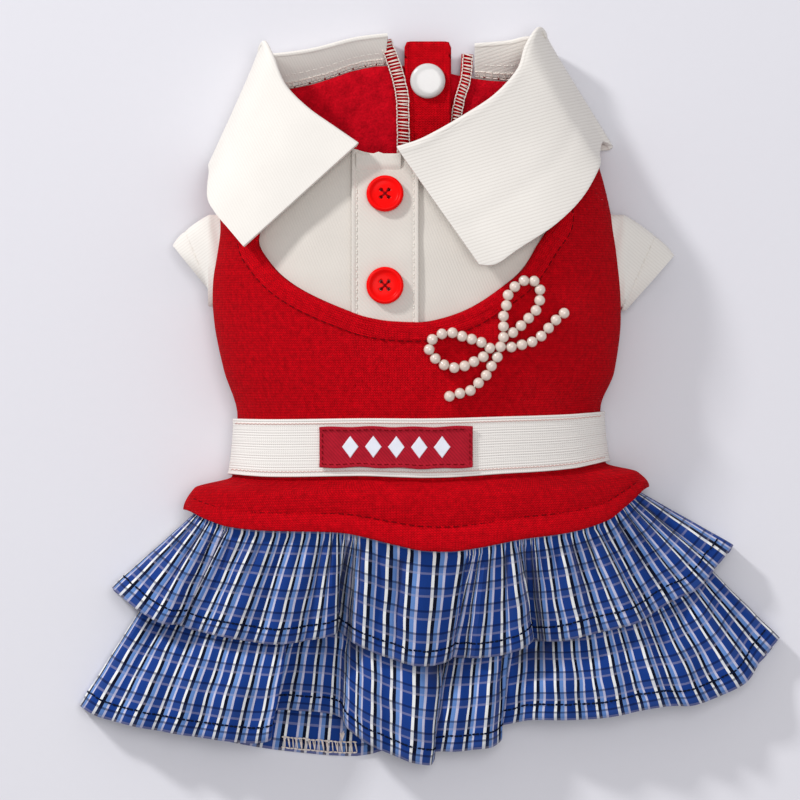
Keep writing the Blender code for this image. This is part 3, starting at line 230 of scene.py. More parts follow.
# The belly opening's serged edges, from the neck down
BELLY_EDGE_LEFT = (
    # x, along
    (-0.0155, 0.1262), (-0.0118, 0.1160), (-0.0098, 0.1080), (-0.0092, 0.0980), (-0.0090, 0.0600),
)
BELLY_EDGE_RIGHT = (
    # x, along
    (0.0135, 0.1215), (0.0128, 0.1130), (0.0105, 0.1050), (0.0092, 0.0950), (0.0088, 0.0600),
)
BELLY_EDGE_WIDTH = 0.0042
SLEEVE_HEMS = {
    # step out, step along, step up, angle, share of the hem's width
    "left": (-0.0080, -0.0022, -0.0040, 130.0, 0.70),
    "right": (0.0108, -0.0076, -0.0040, 48.0, 0.90),
}

# The plaid's stripes: how much of a repeat each takes, its colour and how strongly it shows
PLAID_WARP_REPEAT, PLAID_WEFT_REPEAT = 0.0079, 0.0082
PLAID_WARP = (
    # share, colour, strength
    (0.120, (0.86, 0.86, 0.84), 1.0), (0.155, (0.001, 0.001, 0.003), 1.0), (0.180, (0.125, 0.25, 0.56), 1.0),
    (0.110, (0.56, 0.55, 0.70), 1.0), (0.435, (0.007, 0.040, 0.22), 1.0),
)
PLAID_WEFT = (
    (0.095, (0.30, 0.29, 0.42), 0.40), (0.250, (0.035, 0.070, 0.22), 0.30),
    (0.100, (0.003, 0.008, 0.05), 0.66), (0.555, (0.007, 0.040, 0.22), 0.06),
)


def blend(start, end, share):
    """A value part of the way from one to another."""
    return start + (end - start) * share


def read_row(rows, place):
    """All columns of a table at a place, on a smooth curve through its rows that never overshoots them."""
    if place <= rows[0][0]:
        return rows[0][1:]
    if place >= rows[-1][0]:
        return rows[-1][1:]
    index = max(i for i in range(len(rows) - 1) if rows[i][0] <= place)
    span = rows[index + 1][0] - rows[index][0]
    t = (place - rows[index][0]) / span

    def slope(i, column):
        if i == 0 or i == len(rows) - 1:
            return 0.0
        before = (rows[i][column] - rows[i - 1][column]) / (rows[i][0] - rows[i - 1][0])
        after = (rows[i + 1][column] - rows[i][column]) / (rows[i + 1][0] - rows[i][0])
        return 2 * before * after / (before + after) if before * after > 0 else 0.0

    values = []
    for column in range(1, len(rows[0])):
        low, high = rows[index][column], rows[index + 1][column]
        rise_in, rise_out = slope(index, column) * span, slope(index + 1, column) * span
        values.append((2 * t ** 3 - 3 * t ** 2 + 1) * low + (t ** 3 - 2 * t ** 2 + t) * rise_in
                      + (3 * t ** 2 - 2 * t ** 3) * high + (t ** 3 - t ** 2) * rise_out)
    return values


def body_table():
    """The body's sections in metres, from the hem up: place, left, right, top, bottom, bow and slant."""
    rows = []
    for part, share, width, left, right, height, rise, under, bow, slant in BODY_SECTIONS:
        half = width / 2
        rows.append((part[0] - share * part[1], BODY_LEAN - left * half, BODY_LEAN + right * half,
                     rise * height, under, bow * HEM_BOW, slant * HEM_SLANT))
    return sorted(rows)


BODY = body_table()


def body_point(place, side, across, out=0.0):
    """A point on the body: how far along it, the front or the belly side, the share across it from -1 at
    the left to 1 at the right, and how far it stands out from the knit's outer face."""
    left, right, top, bottom, bow, slant = read_row(BODY, place)
    middle, half = (left + right) / 2, (right - left) / 2
    fullness = FRONT_FULLNESS if side == FRONT else BACK_FULLNESS
    depth = top - SIDE_HEIGHT if side == FRONT else SIDE_HEIGHT - bottom
    across = max(-1.0, min(1.0, across))
    lift = (1 - abs(across) ** fullness) ** (1 / fullness)
    normal = Vector((math.copysign(abs(across) ** (fullness - 1), across) / half, 0,
                     side * lift ** (fullness - 1) / depth)).normalized()
    drop = bow * read_row(HEM_LINE, across)[0] if side == FRONT else 0.0
    point = Vector((middle + half * across, place + slant * across - drop,
                    SIDE_HEIGHT + side * depth * lift))
    return point + normal * out


def body_top(x, y):
    """The height of the body's front face over a place on the floor, above the waist."""
    left, right, top = read_row(BODY, y)[:3]
    across = (2 * x - left - right) / (right - left)
    if abs(across) >= 1:
        return 0.0
    return SIDE_HEIGHT + (top - SIDE_HEIGHT) * (1 - abs(across) ** FRONT_FULLNESS) ** (1 / FRONT_FULLNESS)


def scoop_place(across):
    """The scoop's edge along the body."""
    return SCOOP_RISE - SCOOP_DEPTH + SCOOP_DEPTH * read_row(SCOOP_LINE, across)[0]


def neck_place(side, across):
    """The neck edge along the body."""
    if side == FRONT:
        return NECK_FRONT + NECK_FRONT_RISE * read_row(NECK_LINE, across)[0]
    return NECK_BACK - NECK_BACK_DROP * read_row(NECK_BACK_LINE, across)[0]


def strip_across(x, place):
    """The share across the body of a place from its left to its right."""
    left, right = read_row(BODY, place)[:2]
    return (2 * x - left - right) / (right - left)


def ripple(x, y, reach, seed=0.0):
    """Soft unevenness of cloth, from -1 to 1, that changes over a reach."""
    return noise.noise(Vector((x / reach, y / reach, seed)))


def bump_at(value, start, end):
    """A rounded swelling between two places, 0 at both and 1 between."""
    if not start < value < end:
        return 0.0
    return math.sin(math.pi * (value - start) / (end - start)) ** 0.7


def groove_at(value, place, reach):
    """A narrow groove round a place, 1 at it and 0 away from it."""
    return max(0.0, 1 - abs(value - place) / reach)


# Node trees

def add_node(tree, kind, settings=None, **inputs):
    """A node with its settings, and with values or links for its inputs by name, with _ for a space."""
    made = tree.nodes.new(kind)
    for name, value in (settings or {}).items():
        setattr(made, name, value)
    for name, value in inputs.items():
        fill(tree, made.inputs[name.replace("_", " ")], value)
    return made


def fill(tree, socket, value):
    """Link an output to a socket, or set the socket's own value."""
    if isinstance(value, bpy.types.NodeSocket):
        tree.links.new(value, socket)
    else:
        socket.default_value = value


def calc(tree, operation, *values):
    """A Math node's result."""
    made = tree.nodes.new("ShaderNodeMath")
    made.operation = operation
    for socket, value in zip(made.inputs, values):
        fill(tree, socket, value)
    return made.outputs[0]


def mix_colours(tree, share, first, second, how="MIX"):
    """A Mix node's colour."""
    made = tree.nodes.new("ShaderNodeMix")
    made.data_type, made.blend_type = "RGBA", how
    for socket, value in ((made.inputs[0], share), (made.inputs[6], first), (made.inputs[7], second)):
        fill(tree, socket, value)
    return made.outputs[2]


def new_group(name, inputs, outputs):
    """A node group with named sockets, and its input and output nodes."""
    group = bpy.data.node_groups.new(name, "ShaderNodeTree")
    for label, kind, value in inputs:
        socket = group.interface.new_socket(label, in_out="INPUT", socket_type=kind)
        socket.default_value = value
    for label, kind in outputs:
        group.interface.new_socket(label, in_out="OUTPUT", socket_type=kind)
    return group, group.nodes.new("NodeGroupInput"), group.nodes.new("NodeGroupOutput")


def place_group(tree, group, **inputs):
    """A group in a tree, with values or links for its inputs by name."""
    made = tree.nodes.new("ShaderNodeGroup")
    made.node_tree = group
    for name, value in inputs.items():
        fill(tree, made.inputs[name.replace("_", " ")], value)
    return made


def lint_group():
    """The unevenness of dyed cotton: a colour that varies softly and by single fibres, and a height."""
    group, into, out = new_group(
        "cotton_lint",
        [("Vector", "NodeSocketVector", (0, 0, 0)), ("Colour", "NodeSocketColor", (1, 1, 1, 1)),
         ("Shade", "NodeSocketFloat", 0.1), ("Patch Scale", "NodeSocketFloat", 60.0),
         ("Fibre Scale", "NodeSocketFloat", 2500.0)],
        [("Colour", "NodeSocketColor"), ("Height", "NodeSocketFloat")])
    patches = add_node(group, "ShaderNodeTexNoise", Vector=into.outputs["Vector"],
                       Scale=into.outputs["Patch Scale"], Detail=4.0)
    fibres = add_node(group, "ShaderNodeTexNoise", Vector=into.outputs["Vector"],
                      Scale=into.outputs["Fibre Scale"], Detail=2.0)
    both = calc(group, "ADD", calc(group, "MULTIPLY", patches.outputs["Fac"], 1.2), fibres.outputs["Fac"])
    amount = calc(group, "MULTIPLY", calc(group, "SUBTRACT", both, 1.1), into.outputs["Shade"])
    darker = calc(group, "ADD", 1.0, amount)
    shade = add_node(group, "ShaderNodeCombineColor", Red=darker, Green=darker, Blue=darker)
    colour = mix_colours(group, 1.0, into.outputs["Colour"], shade.outputs[0], "MULTIPLY")
    group.links.new(colour, out.inputs["Colour"])
    group.links.new(fibres.outputs["Fac"], out.inputs["Height"])
    return group


def rib_group():
    """Straight ribs at an angle: 1 on a rib and 0 in the groove between two."""
    group, into, out = new_group(
        "twill_ribs",
        [("Vector", "NodeSocketVector", (0, 0, 0)), ("Angle", "NodeSocketFloat", 0.0),
         ("Pitch", "NodeSocketFloat", 0.001), ("Wander", "NodeSocketFloat", 0.0)],
        [("Rib", "NodeSocketFloat")])
    uneven = add_node(group, "ShaderNodeTexNoise", Vector=into.outputs["Vector"], Scale=45.0, Detail=2.0)
    apart = add_node(group, "ShaderNodeSeparateXYZ", Vector=into.outputs["Vector"])
    along = calc(group, "MULTIPLY", apart.outputs[0], calc(group, "SINE", into.outputs["Angle"]))
    up = calc(group, "MULTIPLY", apart.outputs[1], calc(group, "COSINE", into.outputs["Angle"]))
    across = calc(group, "SUBTRACT", up, along)
    wander = calc(group, "MULTIPLY", calc(group, "SUBTRACT", uneven.outputs["Fac"], 0.5),
                  into.outputs["Wander"])
    turns = calc(group, "DIVIDE", calc(group, "ADD", across, wander), into.outputs["Pitch"])
    wave = calc(group, "ABSOLUTE", calc(group, "SINE", calc(group, "MULTIPLY", turns, math.pi)))
    group.links.new(calc(group, "POWER", wave, 0.6), out.inputs["Rib"])
    return group


def knit_group():
    """Rows of knit stitches, each a small V, seen as a height."""
    group, into, out = new_group(
        "knit_stitches",
        [("Vector", "NodeSocketVector", (0, 0, 0)), ("Wale", "NodeSocketFloat", 0.001),
         ("Course", "NodeSocketFloat", 0.0008)],
        [("Height", "NodeSocketFloat")])
    apart = add_node(group, "ShaderNodeSeparateXYZ", Vector=into.outputs["Vector"])
    wale = calc(group, "DIVIDE", apart.outputs[0], into.outputs["Wale"])
    course = calc(group, "DIVIDE", apart.outputs[1], into.outputs["Course"])
    leg = calc(group, "PINGPONG", wale, 0.5)
    slanted = calc(group, "ADD", course, calc(group, "MULTIPLY", leg, 1.6))
    loop = calc(group, "ABSOLUTE", calc(group, "SINE", calc(group, "MULTIPLY", slanted, math.pi)))
    column = calc(group, "ABSOLUTE", calc(group, "SINE", calc(group, "MULTIPLY", wale, 2 * math.pi)))
    group.links.new(calc(group, "MULTIPLY", loop, calc(group, "POWER", column, 0.5)), out.inputs["Height"])
    return group


LINT, RIBS, KNIT = lint_group(), rib_group(), knit_group()
COLLAR_WHITE = (0.78, 0.745, 0.695)
# The shirt front's twill is the collar's white made darker: painted shade for the collar's shadow over the
# yoke, the strip and the front stand
PAINTED_SHADE_FRONT_WHITE = (0.66, 0.615, 0.56)


def start_finish(name, roughness, sheen=0.0, coat=0.0):
    """A material with its shader's fixed values, its tree and its shader."""
    made = bpy.data.materials.new(name)
    made.use_nodes = True
    shader = made.node_tree.nodes["Principled BSDF"]
    shader.inputs["Roughness"].default_value = roughness
    shader.inputs["Sheen Weight"].default_value = sheen
    shader.inputs["Sheen Roughness"].default_value = 0.45
    shader.inputs["Coat Weight"].default_value = coat
    shader.inputs["Coat Roughness"].default_value = 0.16
    shader.inputs["Specular IOR Level"].default_value = 0.5 if coat else 0.06
    return made, made.node_tree, shader


def finish_surface(tree, shader, colour, height=None, depth=0.0):
    """Feed a colour and a relief of a depth in metres to the shader."""
    fill(tree, shader.inputs["Base Color"], colour)
    if height is not None:
        bump = add_node(tree, "ShaderNodeBump", Strength=1.0, Distance=depth, Height=height)
        tree.links.new(bump.outputs["Normal"], shader.inputs["Normal"])


def cloth_lines(tree):
    """Where the pattern is read: the cloth's own length and width in metres."""
    return add_node(tree, "ShaderNodeUVMap", {"uv_map": "cloth"}).outputs["UV"]


def object_place(tree):
    """Where the pattern is read: the place in the object."""
    return add_node(tree, "ShaderNodeTexCoord").outputs["Object"]


def red_knit(name, colour, relief):
    """Fine red sweatshirt knit."""
    made, tree, shader = start_finish(name, 0.85, sheen=0.12)
    shader.inputs["Sheen Tint"].default_value = (1.0, 0.02, 0.04, 1.0)
    cloth = cloth_lines(tree)
    loops = place_group(tree, KNIT, Vector=cloth, Wale=0.00105, Course=0.00085)
    lint = place_group(tree, LINT, Vector=cloth, Colour=(*colour, 1), Shade=0.75, Patch_Scale=420.0,
                       Fibre_Scale=1200.0)
    shade = calc(tree, "ADD", 0.50, calc(tree, "MULTIPLY", loops.outputs["Height"], 0.80))
    grey = add_node(tree, "ShaderNodeCombineColor", Red=shade, Green=shade, Blue=shade)
    colour = mix_colours(tree, 1.0, lint.outputs["Colour"], grey.outputs[0], "MULTIPLY")
    finish_surface(tree, shader, colour, loops.outputs["Height"], relief)
    return made


def red_fleece():
    """The brushed inner face of the knit."""
    made, tree, shader = start_finish("red_fleece", 0.95, sheen=0.5)
    shader.inputs["Sheen Tint"].default_value = (1.0, 0.05, 0.06, 1.0)
    spot = object_place(tree)
    pile = add_node(tree, "ShaderNodeTexNoise", Vector=spot, Scale=420.0, Detail=6.0, Roughness=0.7)
    lint = place_group(tree, LINT, Vector=spot, Colour=(0.50, 0.002, 0.010, 1), Shade=0.9, Patch_Scale=220.0,
                       Fibre_Scale=1600.0)
    finish_surface(tree, shader, lint.outputs["Colour"], pile.outputs["Fac"], 0.0008)
    return made


def white_twill(name, angle, depth, pitch=0.00115, colour=COLLAR_WHITE):
    """Off-white cotton twill with its ribs at an angle in degrees, shown more or less deeply, with painted
    shade in the grooves between the ribs.
    """
    made, tree, shader = start_finish(name, 0.80, sheen=0.1)
    spot = object_place(tree)
    ribs = place_group(tree, RIBS, Vector=spot, Angle=math.radians(angle), Pitch=pitch, Wander=0.0005)
    lint = place_group(tree, LINT, Vector=spot, Colour=(*colour, 1), Shade=0.08, Patch_Scale=60.0)
    # The grooves between the ribs are painted a darker beige: painted shade
    groove = calc(tree, "MULTIPLY", calc(tree, "SUBTRACT", 1.0, ribs.outputs["Rib"]), depth)
    colour = mix_colours(tree, groove, lint.outputs["Colour"], (0.60, 0.55, 0.50, 1))
    finish_surface(tree, shader, colour, ribs.outputs["Rib"], 0.00009 * depth)
    return made


def stripe_ramp(tree, position, stripes):
    """Hard stripes over one repeat, as a colour and a strength."""
    made = add_node(tree, "ShaderNodeValToRGB", Fac=position)
    made.color_ramp.interpolation = "CONSTANT"
    points = made.color_ramp.elements
    start = 0.0
    for index, (share, colour, strength) in enumerate(stripes):
        point = points[index] if index < 2 else points.new(start)
        point.position = start
        point.color = (*colour, strength)
        start += share
    return made.outputs["Color"], made.outputs["Alpha"]


def plaid_cloth():
    """Yarn-dyed plaid: warp stripes down the skirt, with fainter weft stripes woven across them."""
    made, tree, shader = start_finish("blue_plaid", 0.70, sheen=0.15)
    cloth = cloth_lines(tree)
    lint = place_group(tree, LINT, Vector=cloth, Colour=(1, 1, 1, 1), Shade=0.16, Patch_Scale=140.0)
    apart = add_node(tree, "ShaderNodeSeparateXYZ", Vector=cloth)
    down = calc(tree, "FRACT", calc(tree, "DIVIDE", apart.outputs[0], PLAID_WARP_REPEAT))
    over = calc(tree, "FRACT", calc(tree, "DIVIDE", apart.outputs[1], PLAID_WEFT_REPEAT))
    warp = stripe_ramp(tree, down, PLAID_WARP)[0]
    weft, strength = stripe_ramp(tree, over, PLAID_WEFT)
    woven = mix_colours(tree, strength, warp, weft)
    colour = mix_colours(tree, 1.0, woven, lint.outputs["Colour"], "MULTIPLY")
    threads = place_group(tree, RIBS, Vector=cloth, Angle=math.radians(90), Pitch=0.0005, Wander=0.0001)
    finish_surface(tree, shader, colour, threads.outputs["Rib"], 0.00003)
    return made


def ribbed_elastic():
    """White elastic with ribs along it and rows of pinholes between them, with painted shade in the grooves
    and in the pinholes.
    """
    made, tree, shader = start_finish("ribbed_elastic", 0.75, sheen=0.1)
    cloth = cloth_lines(tree)
    lint = place_group(tree, LINT, Vector=cloth, Colour=(0.79, 0.755, 0.715, 1), Shade=0.05,
                       Patch_Scale=80.0)
    lengthwise = place_group(tree, RIBS, Vector=cloth, Angle=0.0, Pitch=0.0008, Wander=0.0)
    crosswise = place_group(tree, RIBS, Vector=cloth, Angle=math.radians(90), Pitch=0.0008, Wander=0.0)
    # The pinholes are painted brown and the grooves between the ribs darker: painted shade
    pin = calc(tree, "MULTIPLY", calc(tree, "SUBTRACT", 1.0, lengthwise.outputs["Rib"]),
               calc(tree, "SUBTRACT", 1.0, crosswise.outputs["Rib"]))
    pinhole_shade = calc(tree, "MULTIPLY", calc(tree, "GREATER_THAN", pin, 0.16), 0.5)
    groove = calc(tree, "MULTIPLY", calc(tree, "SUBTRACT", 1.0, lengthwise.outputs["Rib"]), 0.22)
    lined = mix_colours(tree, groove, lint.outputs["Colour"], (0.60, 0.56, 0.52, 1))
    colour = mix_colours(tree, pinhole_shade, lined, (0.42, 0.37, 0.34, 1))
    finish_surface(tree, shader, colour, lengthwise.outputs["Rib"], 0.00008)
    return made


def woven_label():
    """Dark red woven label with slanted ribs and painted shade in the grooves between them."""
    made, tree, shader = start_finish("woven_label", 0.65, sheen=0.2)
    cloth = cloth_lines(tree)
    ribs = place_group(tree, RIBS, Vector=cloth, Angle=math.radians(-48), Pitch=0.0009, Wander=0.0001)
    lint = place_group(tree, LINT, Vector=cloth, Colour=(0.40, 0.008, 0.022, 1), Shade=0.4,
                       Patch_Scale=300.0)
    # The grooves between the ribs are painted a darker red: painted shade
    groove = calc(tree, "MULTIPLY", calc(tree, "SUBTRACT", 1.0, ribs.outputs["Rib"]), 0.5)
    colour = mix_colours(tree, groove, lint.outputs["Colour"], (0.13, 0.001, 0.006, 1))
    finish_surface(tree, shader, colour, ribs.outputs["Rib"], 0.0001)
    return made


def plain_finish(name, colour, roughness, coat, shade, patch, fibre, relief):
    """A plain colour with a faint unevenness."""
    made, tree, shader = start_finish(name, roughness, coat=coat)
    lint = place_group(tree, LINT, Vector=object_place(tree), Colour=(*colour, 1), Shade=shade,
                       Patch_Scale=patch, Fibre_Scale=fibre)
    finish_surface(tree, shader, lint.outputs["Colour"], lint.outputs["Height"], relief)
    return made


def thread_finish(name, colour, shade=0.2):
    """Sewing thread."""
    return plain_finish(name, colour, 0.6, 0.0, shade, 400.0, 4000.0, 0.00005)


def resin_finish(name, colour, roughness, coat, shade=0.03):
    """Moulded resin."""
    return plain_finish(name, colour, roughness, coat, shade, 200.0, 900.0, 0.00001)


KNIT_FINISH = red_knit("red_knit", (0.74, 0.0010, 0.0080), 0.00036)
FLEECE_FINISH = red_fleece()
PLAID_FINISH = plaid_cloth()
ELASTIC_FINISH = ribbed_elastic()
LABEL_FINISH = woven_label()
TWILL_FINISHES = {
    "collar_left": white_twill("collar_left_twill", -62.0, 0.24, 0.00095),
    "collar_right": white_twill("collar_right_twill", 17.0, 0.55),
    # The yoke's and the strip's twill use the darker white, which is painted shade under the collar
    "yoke": white_twill("yoke_twill_painted_shade", -68.0, 0.45, 0.00095, colour=PAINTED_SHADE_FRONT_WHITE),
    "strip": white_twill("front_strip_twill_painted_shade", -47.0, 0.48, 0.00105, colour=PAINTED_SHADE_FRONT_WHITE),
    "sleeve_left": white_twill("sleeve_left_twill", 35.0, 0.40, 0.0010),
    "sleeve_right": white_twill("sleeve_right_twill", -40.0, 0.40, 0.0010),
}
RED_THREAD = thread_finish("red_thread", (0.16, 0.0006, 0.0030))
WHITE_THREAD = thread_finish("white_thread", (0.80, 0.765, 0.70))
PINK_THREAD = thread_finish("pink_thread", (0.66, 0.44, 0.40))
NAVY_THREAD = thread_finish("navy_thread", (0.004, 0.008, 0.030))
SERGE_THREAD = thread_finish("serging_thread", (0.76, 0.66, 0.60))
SATIN_THREAD = thread_finish("label_satin", (0.74, 0.75, 0.82), 0.12)
BUTTON_FINISH = resin_finish("red_button", (0.86, 0.0035, 0.003), 0.30, 0.0)
SNAP_FINISH = resin_finish("white_snap", (0.64, 0.625, 0.61), 0.22, 0.4)
PEARL_FINISH = resin_finish("ivory_pearl", (0.70, 0.575, 0.50), 0.16, 1.0, 0.06)


# Laying cloth

def add_object(name, data):
    """An object in the scene."""
    made = bpy.data.objects.new(name, data)
    bpy.context.scene.collection.objects.link(made)
    return made


def mesh_object(name, mesh):
    """An object of a bmesh."""
    data = bpy.data.meshes.new(name)
    mesh.to_mesh(data)
    mesh.free()
    return add_object(name, data)


def finish_piece(name, mesh, finishes, node=None, angle=40):
    """An object of a bmesh that belongs to the dress, with its finishes."""
    piece = mesh_object(name, mesh)
    for finish in finishes:
        piece.data.materials.append(finish)
    piece.data.shade_smooth()
    piece.data.set_sharp_from_angle(angle=math.radians(angle))
    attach(piece, "root")
    if node:
        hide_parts(node)
    return piece


def lay_cloth(columns, rows, place, width_row=0.5, inside=None, lines=None):
    """A mesh of cloth laid out by place(u, v), with the cloth's own width and length as its UV map. The
    width is measured along one row, unless lines(u, v) gives both. The cloth faces away from the inside, or
    from its own middle."""
    mesh = bmesh.new()
    bmesh.ops.create_grid(mesh, x_segments=columns, y_segments=rows, size=0.5)
    points = [[place(i / columns, j / rows) for i in range(columns + 1)] for j in range(rows + 1)]
    row = points[round(width_row * rows)]
    widths = [0.0]
    for before, after in zip(row, row[1:]):
        widths.append(widths[-1] + (after - before).length)
    lengths = [0.0]
    for j in range(rows):
        steps = [(points[j + 1][i] - points[j][i]).length for i in range(0, columns, max(1, columns // 12))]
        lengths.append(lengths[-1] + sum(steps) / len(steps))
    layer = mesh.loops.layers.uv.new("cloth")
    spots = {}
    for vert in mesh.verts:
        spots[vert] = (round((vert.co.x + 0.5) * columns), round((vert.co.y + 0.5) * rows))
    for face in mesh.faces:
        for loop in face.loops:
            i, j = spots[loop.vert]
            loop[layer].uv = lines(i / columns, j / rows) if lines else (widths[i], lengths[j])
    for vert, (i, j) in spots.items():
        vert.co = points[j][i]
    bmesh.ops.remove_doubles(mesh, verts=mesh.verts, dist=MERGE)
    if inside is None:
        inside = sum((vert.co for vert in mesh.verts), Vector()) / len(mesh.verts)
    mesh.normal_update()
    outward = sum((face.calc_center_median() - inside).dot(face.normal) * face.calc_area()
                  for face in mesh.faces)
    if outward < 0:
        bmesh.ops.reverse_faces(mesh, faces=mesh.faces)
    return mesh


FAR_BELOW = Vector((0, 0, -1))


def add_wall(piece, wall, inward=True, inner=0, edge=0.0, even=True):
    """Cloth thickness, from the laid face inwards or to both sides of it, with softened edges."""
    solidify = piece.modifiers.new("Wall", "SOLIDIFY")
    solidify.thickness = wall
    solidify.offset = -1 if inward else 0
    solidify.use_even_offset = inward and even
    solidify.material_offset = inner
    if edge:
        bevel = piece.modifiers.new("Edges", "BEVEL")
        bevel.width, bevel.segments, bevel.limit_method = edge, 2, "ANGLE"
        bevel.angle_limit = math.radians(50)


def add_capsule(mesh, start, end, thick):
    """One length of thread between two points."""
    along = end - start
    if along.length < 1e-6:
        return
    made = bmesh.ops.create_uvsphere(mesh, u_segments=6, v_segments=4, radius=0.5)
    turn = UP.rotation_difference(along).to_matrix().to_4x4()
    shape = Matrix.Diagonal((thick, thick, along.length * 1.08, 1))
    place = Matrix.Translation((start + end) / 2)
    bmesh.ops.transform(mesh, matrix=place @ turn @ shape, verts=made["verts"])


def resample(path, step):
    """Points at even steps along a path."""
    result, left_over = [path[0]], step
    for start, end in zip(path, path[1:]):
        length = (end - start).length
        while length >= left_over:
            start = start + (end - start) * (left_over / length)
            result.append(start)
            length = (end - start).length
            left_over = step
        left_over -= length
    return result


def run_stitches(mesh, path, length, gap, thick, wander=0.0):
    """Lockstitches along a path, each as long as length with a gap after it."""
    step = (length + gap) / 4
    points = resample(path, step)
    share = length / (length + gap)
    for index in range(0, len(points) - 4, 4):
        start, end = points[index], points[index].lerp(points[index + 4], share)
        middle = points[index + 2] * share + points[index] * (1 - share)
        side = Vector((0, 0, 0))
        if wander:
            side = (end - start).cross(UP).normalized() * wander * ripple(index, 0.0, 2.7)
        start, middle, end = start + side, middle + side * 1.3, end + side
        add_capsule(mesh, start, middle, thick)
        add_capsule(mesh, middle, end, thick)


def serge(mesh, left, right, pitch, thick):
    """Overlock stitching between two edge paths: slanted cross threads and a chain along each edge."""
    count = max(4, int(min(path_length(left), path_length(right)) / pitch))
    lefts = [along_path(left, i / count) for i in range(count + 1)]
    rights = [along_path(right, i / count) for i in range(count + 1)]
    lefts = [spot + Vector((ripple(i, 0.0, 1.3), ripple(i, 2.0, 1.1), 0)) * pitch * 0.22
             for i, spot in enumerate(lefts)]
    rights = [spot + Vector((ripple(i, 4.0, 1.2), ripple(i, 6.0, 1.4), 0)) * pitch * 0.28
              for i, spot in enumerate(rights)]
    lift = Vector((0, 0, thick * 0.4))
    for i in range(count):
        slack = 0.35 * pitch * ripple(i, 3.0, 1.7)
        add_capsule(mesh, lefts[i], rights[i].lerp(rights[i + 1], 0.25 + slack / pitch), thick)
        if i % 3 != 2:
            add_capsule(mesh, lefts[i] + lift, rights[i].lerp(rights[i + 1], 0.55), thick * 0.9)
        add_capsule(mesh, lefts[i], lefts[i + 1], thick * 1.25)
        add_capsule(mesh, rights[i], rights[i + 1], thick * 1.25)


def path_length(path):
    """The length of a path."""
    return sum((end - start).length for start, end in zip(path, path[1:]))


def along_path(path, share):
    """The point at a share of a path's points."""
    index = share * (len(path) - 1)
    low = min(int(index), len(path) - 2)
    return path[low].lerp(path[low + 1], index - low)


def thread_piece(name, mesh, finish):
    """Joined stitches as one piece."""
    return finish_piece(name, mesh, [finish], angle=180)


# The knitted body

SCOOP_ENDS = (SCOOP_LINE[0][0], SCOOP_LINE[-1][0])
SCOOP_TOP = 0.086
TURNED_WIDTH = 0.0075
FRONT_COLUMNS, BELLY_COLUMNS = 150, 50


def knit_start(side, across):
    """Where the knit ends at the top: at the scoop, or at the neck edge beside it."""
    if side == FRONT and SCOOP_ENDS[0] <= across <= SCOOP_ENDS[1]:
        return scoop_place(across)
    return neck_place(side, across)


STRAP_ROWS = 22
BODY_ROWS = ([("strap", i / STRAP_ROWS) for i in range(STRAP_ROWS)] + [("main", i / 40) for i in range(41)]
             + [("waist", (i + 1) / 5) for i in range(5)] + [("band", (i + 1) / 26) for i in range(26)])


def body_column(u):
    """The side of the body and the share across it at a share round it."""
    turn = u * (FRONT_COLUMNS + BELLY_COLUMNS)
    if turn <= FRONT_COLUMNS:
        return FRONT, -math.cos(math.pi * turn / FRONT_COLUMNS)
    across = math.cos(math.pi * (turn - FRONT_COLUMNS) / BELLY_COLUMNS)
    return BELLY, math.copysign(abs(across) ** 0.6, across)


def knit_out(kind, share, side, across, place):
    """How far the knit swells out or dents in."""
    if side == BELLY:
        return 0.0
    x = across * CHEST_WIDTH / 2
    fade = (1 - abs(across)) ** 0.5
    out = 0.0009 * ripple(x, place, 0.020, 1.0) + 0.0004 * ripple(x, place, 0.008, 4.0)
    if kind in ("strap", "main"):
        rise = (place - WAIST_PLACE) / 0.009
        out += math.exp(-rise) * (0.0013 + 0.0012 * ripple(x, 0.0, 0.006, 7.0)) * (1 - math.exp(-rise * 5))
        if SCOOP_ENDS[0] <= across <= SCOOP_ENDS[1]:
            inside = min(across - SCOOP_ENDS[0], SCOOP_ENDS[1] - across)
            near = math.exp(-(scoop_place(across) - place) / 0.006) * min(1.0, inside / 0.08)
            out = out * (1 - near) - 0.0005 * near
    elif kind == "waist":
        out = -0.0002
    else:
        out += 0.0016 * bump_at(share, 0.0, BAND_STITCH_SHARE) * (1 + 0.7 * ripple(x, 0.0, 0.009, 9.0))
        out += 0.0016 * bump_at(share, BAND_STITCH_SHARE, 1.08)
        out -= 0.0007 * groove_at(share, BAND_STITCH_SHARE, 0.06)
    return out * fade


def knit_row(kind, share, side, across):
    """How far along the body a row lies. The strap rows end level with the scoop's ends."""
    start = knit_start(side, across)
    if side == FRONT and SCOOP_ENDS[0] <= across <= SCOOP_ENDS[1]:
        level = start
    else:
        level = blend(scoop_place(SCOOP_ENDS[0]), scoop_place(SCOOP_ENDS[1]), (across + 1) / 2)
    if kind == "strap":
        return blend(start, level, share)
    if kind == "main":
        return blend(level, WAIST_PLACE, share)
    if kind == "waist":
        return blend(WAIST_PLACE, BAND_PLACE, share)
    return blend(BAND_PLACE, HEM_PLACE, share)


def knit_point(kind, share, side, across):
    """A point of the knit's outer face."""
    along = knit_row(kind, share, side, across)
    return body_point(along, side, across, knit_out(kind, share, side, across, along))


def make_body():
    """The knitted body with its turned hem band."""

    def spot(u, v):
        kind, share = BODY_ROWS[round((1 - v) * (len(BODY_ROWS) - 1))]
        return kind, share, *body_column(u)

    def place(u, v):
        return knit_point(*spot(u, v))

    def lines(u, v):
        kind, share, side, across = spot(u, v)
        round_body = math.asin(across) * CHEST_WIDTH / 2 * 1.1
        drop = HEM_BOW * read_row(HEM_LINE, across)[0] * share if kind == "band" and side == FRONT else 0.0
        return round_body * side, knit_row(kind, share, side, across) - drop

    columns = FRONT_COLUMNS + BELLY_COLUMNS
    mesh = lay_cloth(columns, len(BODY_ROWS) - 1, place, 0.45, lines=lines)
    body = finish_piece("knit_body", mesh, [KNIT_FINISH, FLEECE_FINISH], "bodice")
    add_wall(body, KNIT_WALL, inner=1, even=False)


